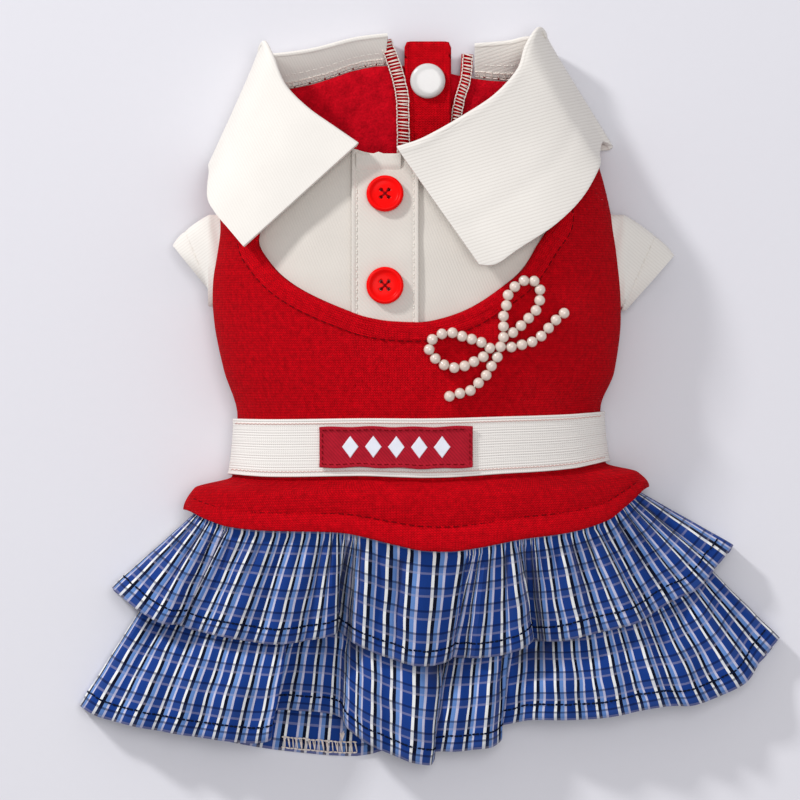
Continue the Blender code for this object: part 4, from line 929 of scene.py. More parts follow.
def scoop_path(count):
    """The scoop's edge and the straps' inner edges above it, as even steps over the body from above."""
    left = Vector((SCOOP_ENDS[0], SCOOP_TOP))
    right = Vector((SCOOP_ENDS[1], SCOOP_TOP))
    points = [left.lerp(Vector((left.x, scoop_place(left.x))), i / 20) for i in range(20)]
    points += [Vector((a, scoop_place(a))) for a in (blend(*SCOOP_ENDS, i / 80) for i in range(81))]
    points += [Vector((right.x, scoop_place(right.x))).lerp(right, (i + 1) / 20) for i in range(20)]
    path = []
    for across, along in points:
        low, high = read_row(BODY, along)[:2]
        path.append(Vector(((low + high) / 2 + (high - low) / 2 * across, along, 0)))
    for _ in range(6):
        path = [path[0]] + [(a + b * 2 + c) / 4 for a, b, c in zip(path, path[1:], path[2:])] + [path[-1]]
    return resample(path, path_length(path) / count)


SCOOP_PATH = scoop_path(240)


def turned_point(index, inward, out):
    """A point of the scoop's turned edge, a distance in from it."""
    last = len(SCOOP_PATH) - 1
    along = SCOOP_PATH[min(index + 2, last)] - SCOOP_PATH[max(index - 2, 0)]
    spot = SCOOP_PATH[index] + along.normalized().cross(UP) * inward
    across = max(-0.999, min(0.999, strip_across(spot.x, spot.y)))
    return body_point(spot.y, FRONT, across, out)


def make_turned_edge():
    """The scoop's edge, turned over softly and stitched down."""
    last = len(SCOOP_PATH) - 1
    profile = (
        # share across, height
        (0.00, -0.0016), (0.01, -0.0006), (0.05, 0.0002), (0.14, 0.0007), (0.30, 0.0009), (0.55, 0.0008),
        (0.78, 0.0006), (0.90, 0.0002), (0.96, -0.0003), (1.00, -0.0009),
    )

    def place(u, v):
        index = round(u * last)
        swell = 0.0003 * ripple(index * 0.001, v, 0.011, 41.0)
        height = read_row(profile, v)[0]
        return turned_point(index, v * TURNED_WIDTH, height + (swell if 0.1 < v < 0.9 else 0.0))

    mesh = lay_cloth(last, 22, place, 0.5, FAR_BELOW)
    edge = finish_piece("scoop_edge", mesh, [KNIT_FINISH])
    add_wall(edge, 0.0008, even=False)


def make_body_stitches():
    """The rows of red stitches under the scoop's edge and across the hem band."""
    mesh = bmesh.new()
    scoop = [turned_point(i, TURNED_WIDTH * 0.90, 0.0004) for i in range(len(SCOOP_PATH))]
    run_stitches(mesh, scoop, *SCOOP_STITCH)
    along = blend(BAND_PLACE, HEM_PLACE, BAND_STITCH_SHARE)
    band = [body_point(along, FRONT, a, -0.0001) for a in (blend(-0.97, 0.97, i / 200) for i in range(201))]
    run_stitches(mesh, band, *BAND_STITCH)
    thread_piece("body_stitches", mesh, RED_THREAD)


# The shirt front

def make_yoke():
    """The white front under the scoop."""
    lap = YOKE_LAP / (CHEST_WIDTH / 2)

    def place(u, v):
        across = blend(SCOOP_ENDS[0] - lap, SCOOP_ENDS[1] + lap, u)
        along = blend(neck_place(FRONT, across), scoop_place(across) - YOKE_LAP, 1 - v)
        dent = 0.00035 * ripple(across * 0.07, along, 0.012, 12.0)
        return body_point(along, FRONT, across, YOKE_FACE + dent)

    yoke = finish_piece("shirt_front", lay_cloth(80, 50, place, 0.3, FAR_BELOW), [TWILL_FINISHES["yoke"]],
                        "shirt_yoke")
    add_wall(yoke, TWILL_WALL)


def front_strip_point(u, v, out=0.0):
    """A point of the strip down the shirt front, from its neck end at v = 1 to the scoop's edge."""
    x = FRONT_STRIP_PLACE + FRONT_STRIP_WIDTH * (u - 0.5)
    along = NECK_FRONT
    for _ in range(4):
        across = strip_across(x, along)
        along = blend(neck_place(FRONT, across), scoop_place(across) - 0.001, 1 - v)
    dent = 0.00030 * ripple(x, along, 0.009, 15.0)
    return body_point(along, FRONT, across, STRIP_FACE + out + dent)


def make_front_strip():
    """The strip that the buttons sit on, with its edges stitched down."""

    def place(u, v):
        edge = min(u, 1 - u) * FRONT_STRIP_WIDTH
        swell = 0.0004 * bump_at(edge, -0.0006, 0.0018) - 0.0002 * groove_at(edge, 0.0019, 0.0006)
        return front_strip_point(u, v, swell)

    strip = finish_piece("front_strip", lay_cloth(48, 50, place, 0.5, FAR_BELOW), [TWILL_FINISHES["strip"]],
                         "yoke_placket")
    add_wall(strip, TWILL_WALL, edge=EDGE_ROLL)
    mesh = bmesh.new()
    for u in (0.08, 0.92):
        run_stitches(mesh, [front_strip_point(u, i / 60, 0.0001) for i in range(61)], *STRIP_STITCH)
    thread_piece("front_strip_stitches", mesh, WHITE_THREAD)


def make_front_stand():
    """The short band between the two collar points, over the strip's neck end."""

    def place(u, v):
        x = blend(*FRONT_STAND_SPAN, u)
        edge = NECK_FRONT + 0.0006 - 0.0010 * abs(math.sin((u * 1.9 + 0.05) * math.pi))
        along = blend(NECK_FRONT - FRONT_STAND_DEPTH, edge, v)
        out = blend(STRIP_FACE - 0.0004, STRIP_FACE + 0.0011, read_row(((0, 0), (0.5, 0.9), (1, 1)), v)[0])
        return body_point(along, FRONT, strip_across(x, along), out)

    # The band wears the yoke's twill, with the same painted shade
    band = finish_piece("front_stand", lay_cloth(28, 10, place, 0.5, FAR_BELOW), [TWILL_FINISHES["yoke"]])
    add_wall(band, TWILL_WALL, edge=EDGE_ROLL)


def seat_on_body(x, along, out):
    """A place on the body's front, and the turn that lays a flat thing on it."""
    step = 0.001
    here = body_point(along, FRONT, strip_across(x, along), out)
    right = body_point(along, FRONT, strip_across(x + step, along), out) - here
    up = body_point(along + step, FRONT, strip_across(x, along + step), out) - here
    normal = right.cross(up).normalized()
    right.normalize()
    turn = Matrix((right, normal.cross(right), normal)).transposed().to_4x4()
    return here, turn


BUTTON_PROFILE = (
    # radius, height
    (0.00, 0.00), (0.82, 0.00), (0.93, 0.12), (0.99, 0.34), (1.00, 0.52), (0.985, 0.76), (0.94, 0.92),
    (0.88, 1.00), (0.82, 0.97), (0.77, 0.86), (0.72, 0.74), (0.67, 0.68), (0.45, 0.64), (0.00, 0.62),
)


def turned_mesh(profile, steps):
    """A closed solid turned round Z."""
    mesh = bmesh.new()
    verts = [mesh.verts.new((x, 0, z)) for x, z in profile]
    closing = verts[:1] if profile[0][0] else []
    edges = [mesh.edges.new(pair) for pair in zip(verts, verts[1:] + closing)]
    bmesh.ops.spin(mesh, geom=verts + edges, cent=(0, 0, 0), axis=(0, 0, 1), angle=2 * math.pi, steps=steps,
                   use_merge=True)
    bmesh.ops.remove_doubles(mesh, verts=mesh.verts, dist=MERGE)
    bmesh.ops.recalc_face_normals(mesh, faces=mesh.faces)
    return mesh


def make_button(node, along):
    """A red button with a rounded rim, a sunk middle and four holes sewn through."""
    profile = [(x * BUTTON_WIDTH / 2, z * BUTTON_THICKNESS) for x, z in BUTTON_PROFILE]
    mesh = turned_mesh(profile, 64)
    seat, turn = seat_on_body(FRONT_STRIP_PLACE, along, STRIP_FACE + GAP)
    move = Matrix.Translation(seat) @ turn
    bmesh.ops.transform(mesh, matrix=move, verts=mesh.verts)
    button = finish_piece(node + "_shown", mesh, [BUTTON_FINISH], node)
    reach = BUTTON_HOLE_PITCH / 2
    spots = [Vector((x * reach, y * reach, 0)) for x, y in ((1, 1), (-1, 1), (-1, -1), (1, -1))]
    holes = bmesh.new()
    for spot in spots:
        made = bmesh.ops.create_cone(holes, cap_ends=True, segments=16, radius1=BUTTON_HOLE_WIDTH / 2,
                                     radius2=BUTTON_HOLE_WIDTH / 2, depth=4 * BUTTON_THICKNESS)
        bmesh.ops.translate(holes, vec=spot, verts=made["verts"])
    bmesh.ops.transform(holes, matrix=move, verts=holes.verts)
    cutter = mesh_object(node + "_holes", holes)
    boolean = button.modifiers.new("Holes", "BOOLEAN")
    boolean.operation, boolean.solver, boolean.object = "DIFFERENCE", "EXACT", cutter
    solid = bpy.data.meshes.new_from_object(button.evaluated_get(bpy.context.evaluated_depsgraph_get()))
    button.modifiers.clear()
    button.data = solid
    bpy.data.objects.remove(cutter)
    thread = bmesh.new()
    top = BUTTON_THICKNESS * 0.60
    for start, end in ((spots[0], spots[2]), (spots[1], spots[3])):
        for side in (-1, 1):
            shift = (end - start).cross(UP).normalized() * 0.00018 * side + UP * top
            add_capsule(thread, start + shift, end + shift, 0.0004)
    for spot in spots:
        add_capsule(thread, spot + Vector((0, 0, 0.0004)), spot + Vector((0, 0, top)), 0.0009)
    bmesh.ops.transform(thread, matrix=move, verts=thread.verts)
    thread_piece(node + "_thread", thread, RED_THREAD)


# The collar

def collar_section(side, across, fold_x, fold_y, rise, angle, fall_share, edge, tuck):
    """The points of one section: up the stand, over the fold and down the fall."""
    neck = body_point(neck_place(side, across), side, across)
    fall = Vector((math.cos(math.radians(angle)), math.sin(math.radians(angle)), 0))
    seam = neck - fall * (COLLAR_WALL / 2 + 2 * GAP) - Vector((0, 0, side * KNIT_WALL / 2))
    fold = seam + Vector((fold_x * BACK_STAND_HEIGHT, fold_y * BACK_STAND_HEIGHT, rise * STAND_HEIGHT))
    edge_height = edge * CHEST_HEIGHT
    points = [seam, seam.lerp(fold, 0.5), fold - Vector((0, 0, COLLAR_WALL * 0.4))]
    for open_length, open_drop, tuck_length, tuck_drop in FALL_PROFILE:
        length = blend(open_length, tuck_length, tuck) * fall_share * FALL_LENGTH
        point = fold + fall * length
        point.z = blend(fold.z, edge_height, blend(open_drop, tuck_drop, tuck))
        if tuck < 0.5:
            point.z = max(point.z, body_top(point.x, point.y) + COLLAR_WALL + 2 * GAP)
        points.append(point)
    return points


def curve_between(points, index):
    """A point on a smooth curve through a list of points."""
    low = min(int(index), len(points) - 2)
    t = index - low
    before, start, end, after = [points[max(0, min(len(points) - 1, low + step))] for step in (-1, 0, 1, 2)]
    return 0.5 * (2 * start + (end - before) * t + (2 * before - 5 * start + 4 * end - after) * t ** 2
                  + (3 * start - before - 3 * end + after) * t ** 3)


def collar_point(sections, u, v):
    """A point of a collar half: u round the neck, v from the seam over the fold to the edge."""
    last = len(sections[0]) - 1
    ring = [curve_between([section[row] for section in sections], u * (len(sections) - 1))
            for row in range(last + 1)]
    point = curve_between(ring, v * last)
    point.z = max(point.z, COLLAR_WALL / 2)
    return point


def make_collar(name, stations):
    """One half of the collar, with a softly rolled edge."""
    sections = [collar_section(*station) for station in stations]

    def place(u, v):
        point = collar_point(sections, u, v)
        swell = 0.00035 * ripple(point.x, point.y, 0.016, 21.0) if v > 0.4 else 0.0
        roll = 0.0004 * bump_at(v, 0.86, 1.04) - 0.0002 * groove_at(v, 0.86, 0.05)
        point.z = max(COLLAR_WALL / 2, point.z + (swell + roll if v > 0.4 else 0.0))
        return point

    piece = finish_piece(name + "_shown", lay_cloth(90, 63, place, 0.4), [TWILL_FINISHES[name]],
                         name)
    add_wall(piece, COLLAR_WALL, inward=False, edge=COLLAR_EDGE_ROLL)
    return sections


def make_collar_stitches(left, right):
    """The stand's two rows of stitches and its red and white serged seam, at the belly side of the neck."""
    white, serged, red = bmesh.new(), bmesh.new(), bmesh.new()
    lift = COLLAR_WALL / 2 + 0.0001
    for sections, start, end in ((left, 0.0, 0.40), (right, 0.66, 1.0)):
        def row(v, out, first=start, last=end, of=sections):
            points = []
            for i in range(61):
                point = collar_point(of, blend(first, last, i / 60), v)
                points.append(point + Vector((0, 0, out)))
            return points

        for v in (0.10, 0.045):
            run_stitches(white, row(v, lift), *STAND_STITCH)
        edge, inner = row(0.0, lift), row(0.035, lift + 0.0002)
        low = [point - Vector((0, 0.0009, 0.0002)) for point in edge]
        serge(serged, low, inner, *STAND_SERGE)
        for index in range(0, 60, 6):
            add_capsule(red, low[index], low[index + 1], 0.0007)
    thread_piece("stand_stitches", white, WHITE_THREAD)
    thread_piece("stand_serging", serged, SERGE_THREAD)
    thread_piece("stand_serging_red", red, RED_THREAD)


# The sleeves

def sleeve_root(side):
    """The middle of an armhole, on the body's side."""
    left, right = read_row(BODY, SLEEVE_PLACE)[:2]
    return Vector((left if side < 0 else right, SLEEVE_PLACE, SIDE_HEIGHT + GAP))


def make_sleeve(name, side):
    """A cap sleeve: a flat tube from inside the armhole to its slanted, stitched hem."""
    root = sleeve_root(side)
    step_x, step_y, step_z, angle, free = SLEEVE_HEMS[name]
    hem = root + Vector((step_x, step_y, step_z))
    hem_along = Vector((math.cos(math.radians(angle)), math.sin(math.radians(angle)), 0))
    inset = Vector((SLEEVE_INSET * side, 0, 0))
    length, height = ARMHOLE_LENGTH / 2 - 2 * GAP, SLEEVE_HEIGHT / 2 - 2 * GAP
    stations = (
        (root - inset, Vector((0, 1, 0)), length, height),
        (root + inset * 0.4, Vector((0, 1, 0)), length, height),
        (hem, hem_along, free * SLEEVE_HEM_WIDTH / 2, SLEEVE_HEM_HEIGHT / 2),
    )

    def tube_point(u, v, out=0.0):
        turn = 2 * math.pi * u
        low = 0 if v < 0.2 else 1
        share = v / 0.2 if low == 0 else (v - 0.2) / 0.8
        middle, along, half, tall = (blend(a, b, share) for a, b in zip(stations[low], stations[low + 1]))
        crease = 0.0005 * math.sin(3 * turn + 4 * share) * share * (1 - share) * 4
        point = middle + along.normalized() * (half + out) * math.cos(turn)
        return point + Vector((0, 0, (tall + out + crease) * math.sin(turn)))

    def place(u, v):
        swell, groove = bump_at(v, SLEEVE_STITCH_SHARE, 1.05), groove_at(v, SLEEVE_STITCH_SHARE, 0.04)
        return tube_point(u, v, 0.0003 * swell - 0.0002 * groove)

    piece = finish_piece("sleeve_" + name + "_shown", lay_cloth(64, 40, place),
                         [TWILL_FINISHES["sleeve_" + name]], "sleeve_" + name)
    add_wall(piece, TWILL_WALL, inward=False, edge=EDGE_ROLL)
    mesh = bmesh.new()
    path = [tube_point(i / 60, SLEEVE_STITCH_SHARE, TWILL_WALL / 2 + 0.0001) for i in range(61)]
    run_stitches(mesh, path, *SLEEVE_STITCH)
    thread_piece("sleeve_" + name + "_stitches", mesh, WHITE_THREAD)


# The elastic and its label

def make_elastic():
    """The ribbed elastic round the waist."""

    def place(u, v):
        side, across = body_column(u)
        along = blend(WAIST_PLACE - 2 * GAP, BAND_PLACE + 2 * GAP, 1 - v)
        rib = ELASTIC_RIB_DEPTH * (abs(math.sin(math.pi * ELASTIC_RIBS * v)) ** 0.6 - 1)
        rim = 0.0 if 0.045 < v < 0.955 else 0.0001
        out = GAP + ELASTIC_WALL + (rib + rim if side == FRONT else 0.0)
        return body_point(along, side, across, out)

    piece = finish_piece("elastic_shown", lay_cloth(200, 100, place), [ELASTIC_FINISH],
                         "waist_elastic")
    add_wall(piece, ELASTIC_WALL)
    mesh = bmesh.new()
    for v in (ELASTIC_STITCH_SHARE, 1 - ELASTIC_STITCH_SHARE):
        along = blend(WAIST_PLACE - 2 * GAP, BAND_PLACE + 2 * GAP, v)
        path = []
        for i in range(101):
            for shift in (-0.00022, 0.00022):
                across = blend(-0.985, 0.985, (i + (0.5 if shift > 0 else 0.0)) / 101)
                path.append(body_point(along + shift, FRONT, across, GAP + ELASTIC_WALL + 0.0001))
        for start, end in zip(path, path[1:]):
            add_capsule(mesh, start, end, 0.00036)
    thread_piece("elastic_stitches", mesh, PINK_THREAD)


def label_point(u, v, out=0.0):
    """A point of the label on the front of the elastic, whose long edges wave a little."""
    x = LABEL_PLACE + LABEL_LENGTH * (u - 0.5)
    wave = 0.00016 * math.sin(u * 23 + (2 if v < 0.5 else 0)) * abs(v - 0.5) * 2
    along = (WAIST_PLACE + BAND_PLACE) / 2 + LABEL_WIDTH * (v - 0.5) + wave
    return body_point(along, FRONT, strip_across(x, along), 2 * GAP + ELASTIC_WALL + LABEL_WALL + out)


def make_label():
    """The woven label: a folded edge, slanted ribs and a row of plain lozenges."""

    def place(u, v):
        edge = min(v * LABEL_WIDTH, (1 - v) * LABEL_WIDTH)
        return label_point(u, v, 0.0005 * bump_at(edge, -0.0006, 0.0017) + 0.0001 * ripple(u, v, 0.1, 31.0))

    piece = finish_piece("label_shown", lay_cloth(120, 40, place, 0.5, FAR_BELOW), [LABEL_FINISH],
                         "waist_label")
    add_wall(piece, LABEL_WALL, edge=EDGE_ROLL)
    mesh = bmesh.new()
    for index in range(LOZENGES):
        u = blend(*LOZENGE_SPAN, index / (LOZENGES - 1))
        middle = label_point(u, 0.5, 0.00005)
        right = (label_point(u + 0.01, 0.5, 0.00005) - middle).normalized()
        up = (label_point(u, 0.6, 0.00005) - middle).normalized()
        turn = Matrix((right, up, right.cross(up))).transposed().to_4x4()
        made = bmesh.ops.create_cone(mesh, cap_ends=True, segments=4, radius1=1.0, radius2=0.88, depth=1.0)
        shape = Matrix.Diagonal((*LOZENGE_SHAPE, 1))
        bmesh.ops.transform(mesh, matrix=Matrix.Translation(middle) @ turn @ shape, verts=made["verts"])
    thread_piece("label_lozenges", mesh, SATIN_THREAD).data.set_sharp_from_angle(
        angle=math.radians(30))
    stitches = bmesh.new()
    for v in (0.09, 0.91):
        path = [label_point(blend(0.02, 0.98, i / 80), v, 0.0004) for i in range(81)]
        run_stitches(stitches, path, *LABEL_STITCH)
    for u in (0.02, 0.98):
        path = [label_point(u, blend(0.05, 0.95, i / 30), 0.0003) for i in range(31)]
        run_stitches(stitches, path, *LABEL_END_STITCH)
    thread_piece("label_stitches", stitches, RED_THREAD)


# The belly opening

def belly_height(along):
    """The height of the knit's inner face on the belly side."""
    return read_row(BODY, along)[3] + KNIT_WALL


def make_belly_strip():
    """The red strip of the belly opening, its serged edge and the serged edge of the layer beside it."""
    start, end = NECK_BACK + BELLY_STRIP_RISE, BAND_PLACE

    def place(u, v):
        along = blend(start, end, 1 - v)
        shift = u - 0.5
        corner = 0.0022 * (1 - math.sqrt(max(0.0, 1 - max(0.0, (abs(shift) - 0.36) / 0.14) ** 2)))
        x = BELLY_STRIP_PLACE + BELLY_STRIP_WIDTH * shift
        swell = 0.0006 * bump_at(abs(shift), 0.38, 0.52)
        y = along - (corner if v > 0.97 else 0.0)
        return Vector((x, y, belly_height(along) + GAP + STRIP_WALL + swell))

    piece = finish_piece("belly_strip_shown", lay_cloth(24, 120, place, 0.5, FAR_BELOW),
                         [KNIT_FINISH, FLEECE_FINISH], "belly_placket")
    add_wall(piece, STRIP_WALL, even=False)

    serged = bmesh.new()
    left, right, half = BELLY_EDGE_LEFT, BELLY_EDGE_RIGHT, BELLY_EDGE_WIDTH / 2
    serge(serged, belly_path(left, -half, 0.0022), belly_path(left, half, 0.0024), *BELLY_SERGE)
    serge(serged, belly_path(right, -0.0015, 0.0007), belly_path(right, 0.0018, 0.0009), *BELLY_SERGE)
    thread_piece("belly_serging", serged, SERGE_THREAD)

    for name, path, out in (("belly_edge_left", left, 0.0018), ("belly_edge_right", right, 0.0004)):
        low, high = belly_path(path, -half, out), belly_path(path, half, out)

        def edge_place(u, v, low=low, high=high):
            return along_path(low, v).lerp(along_path(high, v), u)

        edge = finish_piece(name, lay_cloth(2, 59, edge_place, 0.5, FAR_BELOW), [KNIT_FINISH])
        add_wall(edge, 0.0010)


def belly_path(points, shift, out):
    """A smooth path on the belly side's inner face through places from the table."""
    smooth = [curve_between([Vector((x, y, 0)) for x, y in points], i / 60 * (len(points) - 1))
              for i in range(61)]
    smooth = resample(smooth, path_length(smooth) / 60)
    path = []
    for before, after in zip(smooth, smooth[1:]):
        side = (after - before).cross(UP).normalized() * -shift
        point = before + side
        point.z = belly_height(min(point.y, NECK_BACK)) + GAP + out
        path.append(point)
    return path


def make_snap():
    """The press stud: a domed cap with its post, and the socket."""
    cap = UNDER_COLLAR + KNIT_WALL + GAP + STRIP_WALL + GAP
    middle = Vector((BELLY_STRIP_PLACE, SNAP_PLACE, 0))
    half, post = SNAP_WIDTH / 2, SNAP_POST_WIDTH / 2
    dome = [(half * math.cos(a) ** 0.35, cap + SNAP_THICKNESS * (0.25 + 0.75 * math.sin(a)))
            for a in (math.radians(90 * i / 16) for i in range(16))]
    profile = [(0, GAP), (post, GAP), (post, cap), (half * 0.92, cap),
               (half * 0.98, cap + SNAP_THICKNESS * 0.1), *dome, (0, cap + SNAP_THICKNESS)]
    inner, outer, top = post + GAP, SNAP_SOCKET_WIDTH / 2, UNDER_COLLAR - GAP
    ring = [(inner, GAP), (outer * 0.94, GAP), (outer, GAP * 1.8), (outer, top), (inner, top)]
    for name, line, sides in (("snap_cap", profile, 72), ("snap_socket", ring, 48)):
        mesh = turned_mesh(line, sides)
        bmesh.ops.translate(mesh, vec=middle, verts=mesh.verts)
        finish_piece(name + "_shown", mesh, [SNAP_FINISH], name)


# The skirt

def belly_line(folds, dip, hem=None):
    """A tier's belly side from right to left: plain cloth, longer in its middle or to its own hem."""
    right, left = folds[-1], folds[0]
    stations = []
    for index in range(1, 90):
        share = index / 90
        reach = blend(right[2], left[2], share) + dip * math.sin(math.pi * share)
        reach = read_row(hem, share)[0] if hem else reach
        across = math.cos(math.pi * share)
        across = math.copysign(abs(across) ** 0.8, across)
        stations.append((BELLY, across, across, reach, 0.0))
    return stations


def tier_stations(folds, per_row):
    """A tier's front, from left to right: side, hem and seam place, reach and rise."""
    rows = [(index, *fold) for index, fold in enumerate(folds)]
    count = (len(rows) - 1) * per_row
    return [(FRONT, *read_row(rows, index / per_row)) for index in range(count + 1)]


def tier_grid(stations, rows, width, lean, length, rise, out, limit, seed):
    """The middle of a tier's cloth as rows of points round the skirt, gathered at the seam."""
    hems = [0.0]
    for before, after in zip(stations, stations[1:]):
        step = Vector(((after[1] - before[1]) * width / 2, (after[3] - before[3]) * length,
                       (after[4] - before[4]) * rise))
        hems.append(hems[-1] + step.length)
    grid = []
    for row in range(rows + 3):
        loop = []
        for index, (side, hem, seam, reach, height) in enumerate(stations):
            inside = body_point(HEM_PLACE + SEAM_LAP, side, seam, out)
            edge = body_point(HEM_PLACE, side, seam, out) - Vector((0, SEAM_DROP, 0))
            end = Vector((lean + hem * width / 2, edge.y - reach * length, height * rise))
            if row < 3:
                point = inside.lerp(edge, row / 2)
            else:
                share = (row - 2) / rows
                point = edge.lerp(end, share)
                point.z = blend(edge.z, end.z, share ** (FRONT_HANG if side == FRONT else BELLY_HANG))
                if side == FRONT:
                    cloth = hems[index]
                    turns = cloth / GATHER_PITCH + 0.9 * ripple(cloth, 0.0, 0.03, seed)
                    waves = cloth / WAVE_PITCH
                    pleat = 2 * abs(math.sin(math.pi * turns)) ** 0.6 - 1.3
                    loose = 1 + 1.3 * ripple(cloth, 0.0, 0.012, seed + 3)
                    fade = min(1.0, share * 8) * math.exp(-share * length / GATHER_REACH)
                    broad = math.sin(2 * math.pi * waves + 4.0 * ripple(cloth, 0.0, 0.04, seed + 9))
                    point.z += GATHER_RISE * pleat * loose * fade
                    point.z += WAVE_RISE * broad * min(1.0, share * 3)
                    point.z -= FOLD_SAG * (1 - height) ** 2 * math.sin(math.pi * share ** 0.7)
                    point.x += 0.0005 * ripple(cloth, share * length, 0.009, seed + 5) * share
                    point.z += 0.0010 * ripple(cloth, share * length, 0.011, seed + 7) * min(1.0, 3 * share)
                point.z = max(limit(point, side), point.z)
            loop.append(point)
        grid.append(loop)
    return grid


def cloth_surface(grid, first, last):
    """A tier's cloth between two columns, stretched a little past its hem, to measure clearance from."""
    loops = [loop[first:last] for loop in grid]
    pairs = zip(loops[-2], loops[-1])
    loops.append([end + (end - before).normalized() * TIER_MARGIN for before, end in pairs])
    count = last - first
    verts = [point for loop in loops for point in loop]
    faces = [(row * count + i, row * count + i + 1, (row + 1) * count + i + 1, (row + 1) * count + i)
             for row in range(len(loops) - 1) for i in range(count - 1)]
    return BVHTree.FromPolygons(verts, faces)


def heights_near(cloth, point, upward):
    """The heights of a cloth's nearest layer over or under a place and close round it."""
    heights = []
    start_z, way = (-1.0, 1) if upward else (1.0, -1)
    for step_x, step_y in ((0, 0), (1, 0), (-1, 0), (0, 1), (0, -1)):
        start = Vector((point.x, point.y, start_z)) + Vector((step_x, step_y, 0)) * TIER_CLEARANCE_REACH
        hit = cloth.ray_cast(start, Vector((0, 0, way)))[0]
        if hit:
            heights.append(hit.z)
    return heights


def press_down(grid, count, over, lowest):
    """Lower a tier's front under the tier over it, softly round each place that is pressed."""
    drops = []
    for row, loop in enumerate(grid):
        space = blend(PLAID_WALL + 3 * GAP, TIER_SPACE, min(1.0, 5 * max(0, row - 2) / (len(grid) - 3)))
        line = []
        for point in loop[:count]:
            heights = heights_near(over, point, True) if row > 2 else []
            line.append(max([0.0] + [point.z + space - height for height in heights]))
        drops.append(line)
    spread = [list(line) for line in drops]
    for _ in range(16):
        for row in range(3, len(grid)):
            for i in range(1, count - 1):
                below = spread[min(row + 1, len(grid) - 1)][i]
                near = (spread[row][i - 1] + spread[row][i + 1] + spread[row - 1][i] + below) / 4
                spread[row][i] = max(drops[row][i], near)
    for row in range(3, len(grid)):
        for i in range(count):
            grid[row][i].z = max(lowest, grid[row][i].z - spread[row][i])


def make_tier(name, node, grid):
    """A closed ring of plaid cloth from its grid of points."""
    rows, columns = len(grid) - 1, len(grid[0])

    def place(u, v):
        return grid[round((1 - v) * rows)][round(u * columns) % columns]

    piece = finish_piece(name, lay_cloth(columns, rows, place, 0.0), [PLAID_FINISH], node)
    add_wall(piece, PLAID_WALL, inward=False)


def hem_path(grid, first, last, reach, out):
    """The path that runs a distance in from the hem, a little off the cloth's face."""
    path = []
    for index in range(first, last):
        column = [loop[index] for loop in grid][::-1]
        left = reach
        for start, end in zip(column, column[1:]):
            step = (end - start).length
            if step >= left:
                here = start.lerp(end, left / step)
                break
            left -= step
        path.append((here, (end - start).normalized()))
    result = []
    for index, (here, down) in enumerate(path):
        ahead = path[min(index + 1, len(path) - 1)][0]
        behind = path[max(index - 1, 0)][0]
        normal = (ahead - behind).cross(down)
        if normal.length > 0:
            normal.normalize()
        if normal.z < 0 and abs(normal.z) > 0.3:
            normal = -normal
        result.append(here + normal * out)
    return result


def make_skirt():
    """The two tiers: the upper one outside, the lower one inside it and longer."""
    floor = PLAID_WALL / 2

    def upper_limit(point, side):
        return floor if side == BELLY else 5 * floor

    front = tier_stations(UPPER_FOLDS, 9)
    belly = belly_line(UPPER_FOLDS, UPPER_BELLY_DIP)
    upper = tier_grid(front + belly, 26, UPPER_TIER_WIDTH, UPPER_TIER_LEAN, UPPER_TIER_LENGTH,
                      UPPER_TIER_RISE, UPPER_OUT, upper_limit, 40.0)
    upper_front = len(front)
    over = cloth_surface(upper, 0, upper_front)
    under = cloth_surface(upper, upper_front - 1, len(upper[0]))

    def lower_limit(point, side):
        if side == FRONT:
            return floor + 2 * PLAID_WALL + 3 * GAP
        return max([floor] + [height + PLAID_WALL + GAP for height in heights_near(under, point, False)])

    front = tier_stations(LOWER_FOLDS, 9)
    belly = belly_line(LOWER_FOLDS, LOWER_BELLY_DIP, BELLY_HEM)
    lower = tier_grid(front + belly, 36, LOWER_TIER_WIDTH, LOWER_TIER_LEAN, LOWER_TIER_LENGTH,
                      LOWER_TIER_RISE, LOWER_OUT, lower_limit, 60.0)
    press_down(lower, len(front), over, floor + 2 * PLAID_WALL + 3 * GAP)
    make_tier("upper_tier", "ruffle_upper", upper)
    make_tier("lower_tier", "ruffle_lower", lower)

    stitches = bmesh.new()
    for grid, count in ((upper, upper_front), (lower, len(front))):
        path = hem_path(grid, 1, count - 1, TIER_HEM, PLAID_WALL / 2 + 0.0002)
        run_stitches(stitches, path, *TIER_STITCH)
    thread_piece("hem_stitches", stitches, NAVY_THREAD)
    make_hem_serging(lower, len(front))


def make_hem_serging(grid, first):
    """The cream serged edge that shows on the belly layer between two folds, with a loose tuft of thread."""
    shown = [point for point in grid[-1][first:] if -0.056 < point.x < -0.023]
    low = [point + Vector((0, 0.0012, PLAID_WALL)) for point in shown]
    high = [point + Vector((0, 0.0050, PLAID_WALL)) for point in shown]
    mesh = bmesh.new()
    serge(mesh, low, high, *TIER_SERGE)
    tip = high[0].lerp(high[-1], 0.2)
    for index in range(9):
        start = tip + Vector((0.0006 * ripple(index, 0.0, 0.7, 71.0), 0.0, 0.0002 * index))
        rise = 0.0035 + 0.002 * ripple(index, 9.0, 0.7)
        end = start + Vector((0.004 * ripple(index, 5.0, 0.7, 73.0), rise, 0.001))
        add_capsule(mesh, start, end, 0.0004)
    thread_piece("hem_serging", mesh, SERGE_THREAD)


# The bow of beads

def bead_point(step):
    """The middle of a bead, lying on the knit."""
    x, along = BOW_PLACE[0] + step[0] * 0.001, BOW_PLACE[1] + step[1] * 0.001
    return body_point(along, FRONT, strip_across(x, along), GAP + BEAD_WIDTH / 2)


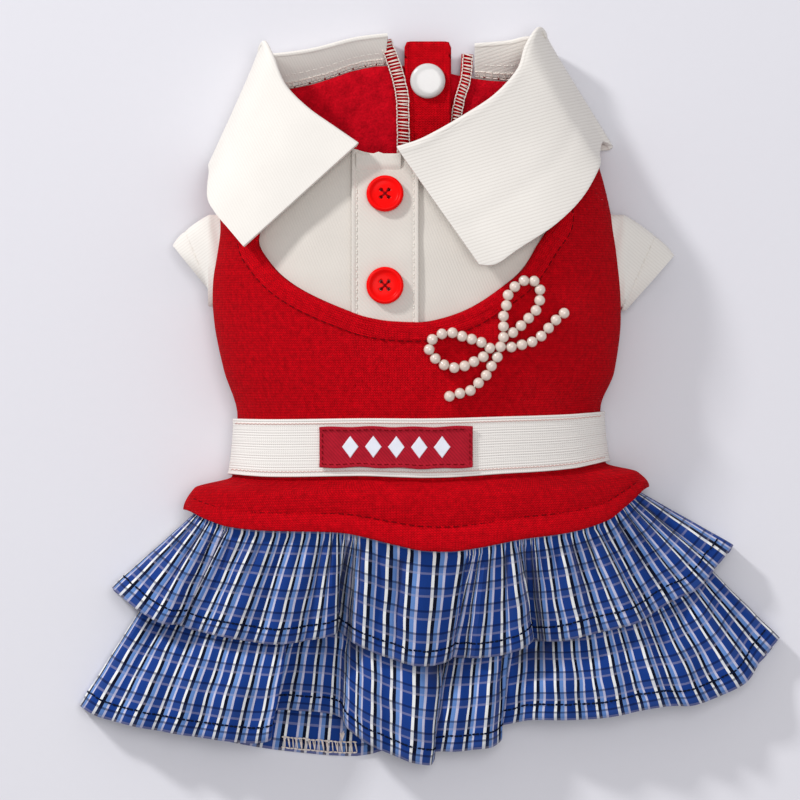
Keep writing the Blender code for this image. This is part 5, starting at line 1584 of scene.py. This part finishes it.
def make_bow():
    """Round beads on a thread, laid in two loops and two tails."""
    mesh, thread = bmesh.new(), bmesh.new()
    placed = set()
    for steps in BOW_STRINGS:
        middles = [bead_point(step) for step in steps]
        for step, middle in zip(steps, middles):
            if step in placed:
                continue
            placed.add(step)
            made = bmesh.ops.create_uvsphere(mesh, u_segments=24, v_segments=14, radius=BEAD_WIDTH / 2)
            bmesh.ops.translate(mesh, vec=middle, verts=made["verts"])
        for start, end in zip(middles, middles[1:]):
            add_capsule(thread, start, end, BEAD_THREAD_WIDTH)
    finish_piece("bead_bow", mesh, [PEARL_FINISH], "pearl_bow", angle=180)
    thread_piece("bead_thread", thread, WHITE_THREAD)


# The floor, the light and the camera

def make_studio():
    """A pale floor, a soft light from the upper left, a wide fill from above and a camera straight above."""
    mesh = bmesh.new()
    bmesh.ops.create_grid(mesh, x_segments=1, y_segments=1, size=3.0)
    floor = mesh_object("floor", mesh)
    floor.data.materials.append(
        plain_finish("pale_floor", (0.72, 0.712, 0.752), 0.6, 0.0, 0.015, 3.0, 300.0, 0.00001))
    for name, place, size, power in (("key_light", (-1.15, 1.15, 0.80), 0.20, 20.0),
                                     ("fill_light", (0.3, 0.2, 2.4), 1.2, 21.0)):
        light = bpy.data.lights.new(name, "AREA")
        light.size, light.energy = size, power
        lamp = add_object(name, light)
        lamp.location = place
        lamp.rotation_mode = "QUATERNION"
        lamp.rotation_quaternion = (Vector((0, 0, 0.02)) - Vector(place)).to_track_quat("-Z", "Y")
    world = bpy.data.worlds.new("studio")
    world.use_nodes = True
    background = world.node_tree.nodes["Background"]
    background.inputs["Color"].default_value = (0.96, 0.96, 1.0, 1.0)
    background.inputs["Strength"].default_value = 0.48
    bpy.context.scene.world = world
    lens = bpy.data.cameras.new("camera")
    lens.lens, lens.sensor_width = 257.0, 36.0
    lens.clip_start, lens.clip_end = 0.1, 10.0
    camera = add_object("camera", lens)
    camera.location = (-0.0103, -0.0005, 2.02)
    bpy.context.scene.camera = camera
    bpy.context.scene.view_settings.view_transform = "Standard"


make_studio()
make_body()
make_turned_edge()
make_body_stitches()
make_yoke()
make_front_strip()
make_front_stand()
top_button = NECK_FRONT - BUTTON_DROP
make_button("button_upper", top_button)
make_button("button_lower", top_button - BUTTON_PITCH)
make_collar_stitches(make_collar("collar_left", COLLAR_LEFT), make_collar("collar_right", COLLAR_RIGHT))
make_sleeve("left", -1)
make_sleeve("right", 1)
make_elastic()
make_label()
make_belly_strip()
make_snap()
make_skirt()
make_bow()
